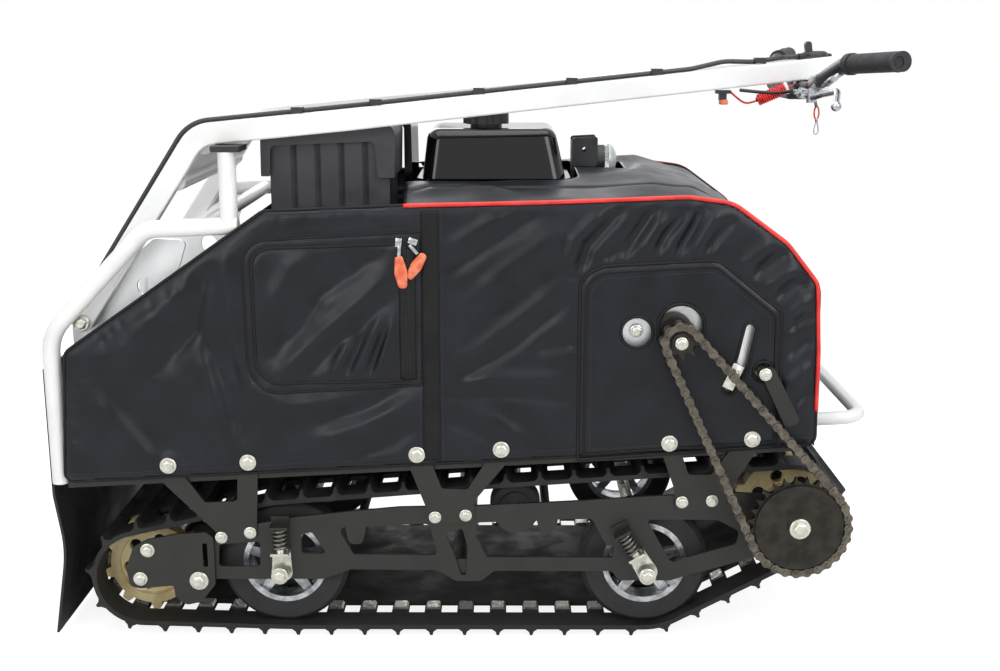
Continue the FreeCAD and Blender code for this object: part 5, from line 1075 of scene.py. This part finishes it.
def strip(name, low_x, high_x, low_z, high_z, side, drift, lift, finish, thick):
    """Flat strip laid upright on the side's cloth; it is stiffer than the cloth, so it spans the folds."""
    columns = STRIP_COLUMNS
    xs = np.linspace(low_x, high_x, columns)
    zs = np.arange(low_z, high_z + 0.1, STRIP_STEP)
    points = np.array([(x, z) for z in zs for x in xs])
    rise = side_rise(points, drift).reshape(len(zs), columns)
    highest = np.repeat(rise.max(axis=1)[:, None], columns, axis=1)
    rise = (highest * STRIP_STIFFNESS + rise * 0.3).ravel()
    faces = [(j * columns + i, j * columns + i + 1, (j + 1) * columns + i + 1, (j + 1) * columns + i)
             for j in range(len(zs) - 1) for i in range(columns - 1)]
    edge = np.abs(points[:, 0] - (low_x + high_x) / 2.0) / ((high_x - low_x) / 2.0)
    rise = rise - STRIP_EDGE_MM * edge ** 8
    places = [side_place(x, z, r, side, lift) for (x, z), r in zip(points, rise)]
    piece = mesh_piece(name, places, faces, finish, "chassis", "cover_fabric")
    thicken(piece, thick, (0.0, side, 0.0))
    return piece


ZIP_X, ZIP_LOW, ZIP_HIGH = -62.0, 411.0, 597.0
TOOTH_PITCH, TOOTH_IN, TOOTH_OUT, TOOTH_SLANT, TOOTH_LIFT = 2.2, 0.4, 2.6, 0.9, 1.9
TOOTH_RADIUS = 0.6 * MM
for word, side, holes, drift in SIDES:
    strap = strip("cover_strap_" + word, -42.0, -17.0, 288.0, 655.0, side, drift, 1.6, webbing, 1.4)
    tape = strip("zip_tape_" + word, -74.0, -50.0, 409.0, 600.0, side, drift, 0.9, binding, 0.9)
    coils = []
    for z in np.arange(ZIP_LOW, ZIP_HIGH, TOOTH_PITCH):
        for reach in (-1.0, 1.0):
            spot = np.array([(ZIP_X + reach * TOOTH_IN, z), (ZIP_X + reach * TOOTH_OUT, z + TOOTH_SLANT)])
            coils.append(sweep(on_side(spot, side, drift, TOOTH_LIFT, 9.0, False), TOOTH_RADIUS, 6))
    coil = mesh_piece("zip_coil_" + word, *joined(coils), zip_coil, "chassis", "cover_fabric")
    for piece in (strap, tape, coil):
        print(piece.name, len(piece.data.polygons), "faces")


# %% Hide tabs
def leaf(length, width):
    """Outline of a hide tab, rounded, narrow at its eye."""
    eye, waist, tip = width * 0.28, width * 0.5, width * 0.3
    return rounded([(-eye, 0.0, 3.0), (eye, 0.0, 3.0), (waist, length * 0.5, 14.0), (tip, length, 5.0),
                    (-tip, length, 5.0), (-waist, length * 0.5, 14.0)])


TAB_STEP, TAB_MM = 1.6, 2.2
TAB_LIFT, TAB_CURL, TAB_BEND = 5.5, 2.4, 2.2
TAB_LENGTH = 45.0
TAB_EDGE, TAB_EDGE_WIDTH = 0.9, 1.2
TABS = (((-73, 588), (-67, 543), 19.0), ((-60, 556), (-37, 592), 17.0))
for word, side, holes, drift in SIDES:
    for number, (top, tip, width) in enumerate(TABS):
        top, tip = np.array(top, float), np.array(tip, float)
        along = (tip - top) / np.linalg.norm(tip - top)
        across = np.array((-along[1], along[0]))
        outline = leaf(float(np.linalg.norm(tip - top)), width)
        points, faces = cut_grid([outline], TAB_STEP)
        flat_points = np.array([top + across * p[0] + along * p[1] for p in points])
        base = float(side_rise(np.array([top]), drift)[0])
        gap = nearest_on(points, outline)[0]
        curl = np.sin(np.clip(points[:, 1] / TAB_LENGTH, 0.0, 1.0) * TAB_BEND)
        swell = TAB_LIFT + TAB_CURL * curl - TAB_EDGE * np.exp(-(gap / TAB_EDGE_WIDTH) ** 2)
        places = [side_place(x, z, base, side, s) for (x, z), s in zip(flat_points, swell)]
        tab = mesh_piece("zip_tab_%s_%d" % (word, number), places, faces, orange_hide_and_highlight, "chassis",
                         "cover_fabric")
        thicken(tab, TAB_MM, (0.0, side, 0.0))
        print(tab.name, len(tab.data.polygons), "faces")

# %% [markdown]
# ### Small solid parts
# Sliders, bolts and fittings start as a cube, cylinder or sphere at their size, and are shaped in
# edit mode. One helper picks faces there, another puts copies of the finished shape where they are
# needed and joins them in one mesh, and a third stands a part outwards on either side.

# %% Shape a part
def select_faces(piece, choose):
    """Edit mode with only the chosen faces selected."""
    bpy.ops.object.select_all(action="DESELECT")
    bpy.context.view_layer.objects.active = piece
    piece.select_set(True)
    bpy.ops.object.mode_set(mode="EDIT")
    bpy.ops.mesh.select_mode(type="FACE")
    bpy.ops.mesh.select_all(action="DESELECT")
    work = bmesh.from_edit_mesh(piece.data)
    work.normal_update()
    for face in work.faces:
        face.select_set(bool(choose(face)))
    bmesh.update_edit_mesh(piece.data)


def beveled_block(x_mm, y_mm, z_mm, bevel_mm):
    """Block with rounded edges around zero."""
    bpy.ops.mesh.primitive_cube_add(size=1.0)
    block = bpy.context.object
    block.data.transform(Matrix.Diagonal((x_mm * MM, y_mm * MM, z_mm * MM, 1.0)))
    select_faces(block, lambda face: True)
    bpy.ops.mesh.bevel(offset=bevel_mm * MM, segments=2, affect="EDGES")
    bpy.ops.object.mode_set(mode="OBJECT")
    return block


print("faces can be picked and edges rounded")


# %% Copies of a part
def copies(name, template, places, finish, body, angle=35.0):
    """One mesh with a copy of a template at each place; the template goes."""
    work = bmesh.new()
    for place in places:
        known = len(work.verts)
        work.from_mesh(template.data)
        work.verts.ensure_lookup_table()
        bmesh.ops.transform(work, matrix=place, verts=work.verts[known:])
    bmesh.ops.recalc_face_normals(work, faces=work.faces)
    mesh = bpy.data.meshes.new(name)
    work.to_mesh(mesh)
    work.free()
    bpy.data.objects.remove(template)
    piece = bpy.data.objects.new(name, mesh)
    bpy.context.scene.collection.objects.link(piece)
    mesh.materials.append(finish)
    bpy.ops.object.select_all(action="DESELECT")
    bpy.context.view_layer.objects.active = piece
    piece.select_set(True)
    bpy.ops.object.shade_smooth_by_angle(angle=math.radians(angle))
    piece.select_set(False)
    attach(piece, body)
    return piece


def facing(side, x, y, z, spin=0.0):
    """Matrix that stands a piece's +Z axis outwards on one side."""
    outwards = Matrix.Rotation(math.radians(-90.0 * side), 4, "X")
    return Matrix.Translation(at(x, y, z)) @ outwards @ Matrix.Rotation(spin, 4, "Z")


print("a right side part faces", [round(v) for v in facing(-1.0, 0, 0, 0).to_3x3() @ Vector((0, 0, 1))])

# %% Sliders and links
SLIDER_LIFT, LINK_LIFT, LINK_DROP = 2.6, 5.4, 11.0
body_places, link_places = [], []
for word, side, holes, drift in SIDES:
    for x, z, spin in ((-73, 607, 0.12), (-53, 609, -1.2)):
        rise = float(side_rise(np.array([(x, z)]), drift)[0])
        slider_y, link_y = (side * (SIDE_FACE_Y + rise + lift) for lift in (SLIDER_LIFT, LINK_LIFT))
        body_places.append(facing(side, x, slider_y, z, spin * side))
        link_places.append(facing(side, x + 1.0, link_y, z - LINK_DROP, spin * side * 0.6))
for name, block, places in (("zip_sliders", (9.0, 13.0, 3.6, 0.9), body_places),
                            ("zip_links", (4.6, 17.0, 1.4, 0.5), link_places)):
    copies(name, beveled_block(*block), places, lever_aluminium, "chassis")
print(len(body_places), "sliders with their links")

# %% [markdown]
# ## Fasteners
# Zinc plated hexagon bolts clamp the cover, the hangers, the arms and the axles. Each is a hexagon
# head with its chamfer and slight dome over a stamped washer, modelled once and copied.

# %% Hexagon bolt
def hex_bolt(washer_mm, head_mm, height_mm):
    """Washer and hexagon head; its seat at zero, its axis +Z."""
    bpy.ops.mesh.primitive_cylinder_add(vertices=36, radius=washer_mm * MM, depth=1.6 * MM,
                                        location=(0.0, 0.0, 0.8 * MM))
    washer = bpy.context.object
    select_faces(washer, lambda face: face.normal.z > 0.9)
    bpy.ops.mesh.inset(thickness=0.7 * MM, depth=0.45 * MM)
    bpy.ops.mesh.inset(thickness=max(washer_mm - head_mm - 0.9, 0.6) * MM, depth=0.15 * MM)
    bpy.ops.object.mode_set(mode="OBJECT")
    bpy.ops.mesh.primitive_cylinder_add(vertices=6, radius=head_mm * MM, depth=height_mm * MM,
                                        location=(0.0, 0.0, (1.8 + height_mm / 2.0) * MM))
    head = bpy.context.object
    select_faces(head, lambda face: face.normal.z > 0.9)
    bpy.ops.mesh.inset(thickness=head_mm * 0.14 * MM, depth=head_mm * 0.1 * MM)
    bpy.ops.mesh.inset(thickness=head_mm * 0.3 * MM, depth=head_mm * 0.06 * MM)
    bpy.ops.mesh.inset(thickness=head_mm * 0.18 * MM, depth=-head_mm * 0.05 * MM)
    bpy.ops.object.mode_set(mode="OBJECT")
    bpy.ops.object.select_all(action="DESELECT")
    washer.select_set(True)
    head.select_set(True)
    bpy.context.view_layer.objects.active = head
    bpy.ops.object.join()
    bpy.ops.object.transform_apply(location=True, rotation=True, scale=True)
    return bpy.context.object


print("bolt helper ready")

# %% Bolt places
HEAD_ANGLE = 28.0
HANGER_BOLTS = ((-343, 166), (-300, 173.5), (-27, 198), (18, 201), (335, 222), (379, 224))
BOLTS = (
    # name, washer, head and height, places (x, y, z) on the left; the right side has the same
    ("deck_bolts", 12.0, 9.0, 5.0, [(x, 274.5, z) for x, z in BOLT_PLACES]),
    ("arm_bolts", 10.5, 8.0, 5.0, [(-453, 267.0, 146), (-466, 267.0, 101)]),
    ("idler_bolts", 14.0, 9.5, 6.5, [(-379, 267.0, 98)]),
    ("hanger_bolts", 9.0, 7.0, 4.0, [(x, 266.0, z) for x, z in HANGER_BOLTS]),
    ("yoke_bolts", 12.5, 9.0, 5.5, [(-255, 287.0, 114), (285, 287.0, 114)]),
    ("pivot_bolts", 12.0, 9.0, 5.0, [(-536, 240.0, 484)]),
)
print(sum(len(spots) for *sizes, spots in BOLTS), "bolts on each side")

# %% Fit the bolts
count = 0
for name, washer_mm, head_mm, height_mm, spots in BOLTS:
    places = [facing(side, x, side * y, z, count * 0.7 + i * 0.9)
              for side in (-1.0, 1.0) for i, (x, y, z) in enumerate(spots)]
    copies(name, hex_bolt(washer_mm, head_mm, height_mm), places, zinc_plate, "chassis",
           HEAD_ANGLE)
    count += len(places)
drive_places = [facing(-1.0, 499, -311.5, 198, 0.4)]
copies("drive_bolt", hex_bolt(15.0, 10.0, 6.0), drive_places, zinc_plate, "chassis",
       HEAD_ANGLE)
SMALL_SPOTS = ((321, -311.5, 471, 0.2), (262, -266.0, 479, 0.9), (443, -293.0, 422, 0.5))
small_places = [facing(-1.0, *spot) for spot in SMALL_SPOTS]
copies("drive_side_bolts", hex_bolt(9.0, 7.0, 4.5), small_places, zinc_plate, "chassis",
       HEAD_ANGLE)
print(count + len(drive_places) + len(small_places), "bolts")

# %% [markdown]
# ### Drive side fittings
# Behind the round opening sits a black disc, drawn as the flange of the output shaft's seal; its black is
# painted shade for the shade inside the opening, so only a crescent of the bright plate is seen. The
# tensioner's slot ends in a plated link, held by its own bolt.

# %% Painted shade disc and link
SHADE_DISC_RADIUS, SHADE_DISC_THICK = 26.0 * MM, 3.0 * MM
bpy.ops.mesh.primitive_cylinder_add(vertices=48, radius=SHADE_DISC_RADIUS, depth=SHADE_DISC_THICK,
                                    location=(0.0, 0.0, SHADE_DISC_THICK / 2.0))
seal_and_shade_disc = bpy.context.object
seal_and_shade_disc.data.transform(seal_and_shade_disc.matrix_world)
seal_and_shade_disc.location = (0.0, 0.0, 0.0)
select_faces(seal_and_shade_disc, lambda face: face.normal.z > 0.9)
bpy.ops.mesh.inset(thickness=1.0 * MM, depth=0.6 * MM)
bpy.ops.mesh.inset(thickness=8.0 * MM, depth=0.0)
bpy.ops.mesh.inset(thickness=1.2 * MM, depth=1.4 * MM)
bpy.ops.object.mode_set(mode="OBJECT")
seal_and_shade_disc_place = facing(-1.0, 315.0, -266.2, 481.0)
# Black disc: painted shade inside the pinion opening, drawn as the seal's flange.
copies("gearbox_seal_and_painted_shade", seal_and_shade_disc, [seal_and_shade_disc_place], black_powder, "chassis")
link_turn = math.radians(-24.0)
link_place = facing(-1.0, 400.0, -279.0, 415.0, link_turn)
link_bolt_place = facing(-1.0, 405.0, -280.8, 424.0, 0.3)
copies("tensioner_link", beveled_block(17.0, 38.0, 3.6, 1.0), [link_place], zinc_plate, "chassis")
copies("tensioner_bolt", hex_bolt(7.0, 5.4, 3.6), [link_bolt_place], zinc_plate, "chassis",
       HEAD_ANGLE)
print("flange, link and bolt fitted")

# %% [markdown]
# ### Lamp dome
# The lamp's outer lens is a shallow dome, pressed from polycarbonate; its pale grey colour is painted
# reflection, standing in for the dome's silver shine. A sphere is cut in half and flattened, which
# gives the even curve of a blown or pressed dome.

# %% Dome
DOME_RADIUS_MM, DOME_FLATNESS = 25.0, 0.55
# Pale grey base colour: painted reflection standing in for the lens dome's silver shine.
lens_painted_reflection = simple_finish("polycarbonate_painted_reflection", ("#DDE3E2", "#C8CFCE"), 12.0, 0.14, 0.24, 2.4, 0.06,
                          IOR=1.585, Transmission_Weight=0.25)
bpy.ops.mesh.primitive_uv_sphere_add(segments=40, ring_count=20, radius=DOME_RADIUS_MM * MM)
dome = bpy.context.object
select_faces(dome, lambda face: True)
bpy.ops.mesh.bisect(plane_co=(0.0, 0.0, 0.0), plane_no=(0.0, 0.0, 1.0), use_fill=True, clear_inner=True)
bpy.ops.object.mode_set(mode="OBJECT")
dome.data.transform(Matrix.Diagonal((1.0, 1.0, DOME_FLATNESS, 1.0)))
dome_place = Matrix.Translation(at(238.0, 0.0, 697.0)) @ Matrix.Rotation(math.radians(90.0), 4, "Y")
copies("lamp_dome", dome, [dome_place], lens_painted_reflection, "chassis")
print("lamp dome reaches", DOME_RADIUS_MM * DOME_FLATNESS, "mm past the housing")

# %% [markdown]
# ## Handlebar details
# Small bought-in parts hang on the handlebar: the key of the stop switch with its sleeve on the
# coiled lanyard, a wire hook on a red loop to hang the lanyard on a coat, the barrel that sets
# the brake cable, and grips moulded with hollow ends.

# %% Key and hook
HOOK_Y = -168.8
key_place = Matrix.Translation(at(401.0, -100.0, 791.8))
key = copies("kill_key", beveled_block(12.0, 14.0, 7.5, 1.6), [key_place], orange_hide_and_highlight, "drawbar")
strap_line = [at(521.5, HOOK_Y, 797.0), at(522.5, HOOK_Y, 793.0), at(524.0, HOOK_Y, 787.5)]
strap_tube = sweep(strap_line, 2.2 * MM, 8, False, 0.5, (0.0, 1.0, 0.0))
hook_strap = mesh_piece("hook_strap", *strap_tube, spring_steel, "drawbar", "lever_metal")
loop_line = [at(524.5 + 3.4 * math.sin(t), HOOK_Y + 0.6 * math.cos(t), 779.5 + 9.0 * math.cos(t))
             for t in np.linspace(0.0, 2.0 * math.pi, 29)[:-1]]
hook_loop = mesh_piece("hook_loop", *sweep(loop_line, 1.2 * MM, 8, True), red_urethane, "drawbar",
                       "lever_metal")
drop_line = [at(525.0 + 4.6 * math.sin(t) * (0.55 - 0.45 * math.cos(t)), HOOK_Y, 759.5 + 10.5 * math.cos(t))
             for t in np.linspace(0.0, 2.0 * math.pi, 41)[:-1]]
collar = sweep([at(524.9, HOOK_Y, 767.0), at(524.9, HOOK_Y, 772.5)], 2.0 * MM, 12)
hook = mesh_piece("snap_hook_wire", *joined([sweep(drop_line, 0.9 * MM, 8, True), collar]), lever_aluminium,
                  "drawbar", "lever_metal")
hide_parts("snap_hook")
print(key.name, hook_strap.name, hook_loop.name, hook.name)

# %% Barrel and sleeve
BARREL_STEPS = ((0, 3.4), (0.2, 3.4), (0.22, 5.0), (0.7, 5.0), (0.72, 4.0), (1, 4.0))
barrel_from, barrel_to = at(527.0, -190.0, 818.0), at(541.0, -225.0, 836.0)
barrel_line = [barrel_from.lerp(barrel_to, share) for share, radius in BARREL_STEPS]
barrel_tube = sweep(barrel_line, [radius * MM for share, radius in BARREL_STEPS], 18)
barrel = mesh_piece("brake_cable_barrel", *barrel_tube, lever_aluminium, "drawbar", "lever_metal")
SLEEVE_STEPS = ((0.86, 8.6), (0.9, 9.4), (0.94, 8.6))
sleeve_line = [COIL_START.lerp(COIL_END, share) for share, radius in SLEEVE_STEPS]
sleeve_tube = sweep(sleeve_line, [radius * MM for share, radius in SLEEVE_STEPS], 24)
sleeve = mesh_piece("coil_sleeve", *sleeve_tube, white_powder, "drawbar", "red_cord")
print(barrel.name, sleeve.name)

# %% [markdown]
# ### Hollow grip ends
# Each grip is moulded with a hollow end. The handlebar is bent, so the grip's own axis is found
# from its points: from the middle of its inner end to the middle of its tip.

# %% Grip ends
grip_points = np.array([tuple(v.co) for v in NODES["grips"].data.vertices])
cap_places = []
for side in (-1.0, 1.0):
    mine = grip_points[grip_points[:, 1] * side > 0.0]
    reach = mine[:, 1] * side
    tip = Vector(mine[reach > reach.max() - 0.006].mean(axis=0))
    root = Vector(mine[reach < reach.min() + 0.02].mean(axis=0))
    axis = (tip - root).normalized()
    far = max(axis.dot(Vector(p) - root) for p in mine)
    middle = root + axis * far
    cap_places.append(Matrix.Translation(middle) @ axis.to_track_quat("Z", "Y").to_matrix().to_4x4())
bpy.ops.mesh.primitive_cylinder_add(vertices=32, radius=13.0 * MM, depth=2.4 * MM)
cap = bpy.context.object
select_faces(cap, lambda face: face.normal.z > 0.9)
bpy.ops.mesh.inset(thickness=0.8 * MM, depth=0.7 * MM)
bpy.ops.mesh.inset(thickness=4.2 * MM, depth=0.0)
bpy.ops.mesh.inset(thickness=0.5 * MM, depth=-2.2 * MM)
bpy.ops.object.mode_set(mode="OBJECT")
caps = copies("grip_ends", cap, cap_places, grip_rubber, "drawbar")
print(caps.name, len(cap_places), "places")

# %% [markdown]
# ## Size of the finished looks
# The growth of the finished looks' box past the CAD model's box is printed in millimetres.

# %% Size and finish
bpy.context.view_layer.update()
all_low, all_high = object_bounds()
growth = zip((*cad_low, *all_high), (*all_low, *cad_high))
print("grown by mm", [round((a - b) * 1000.0, 1) for a, b in growth])
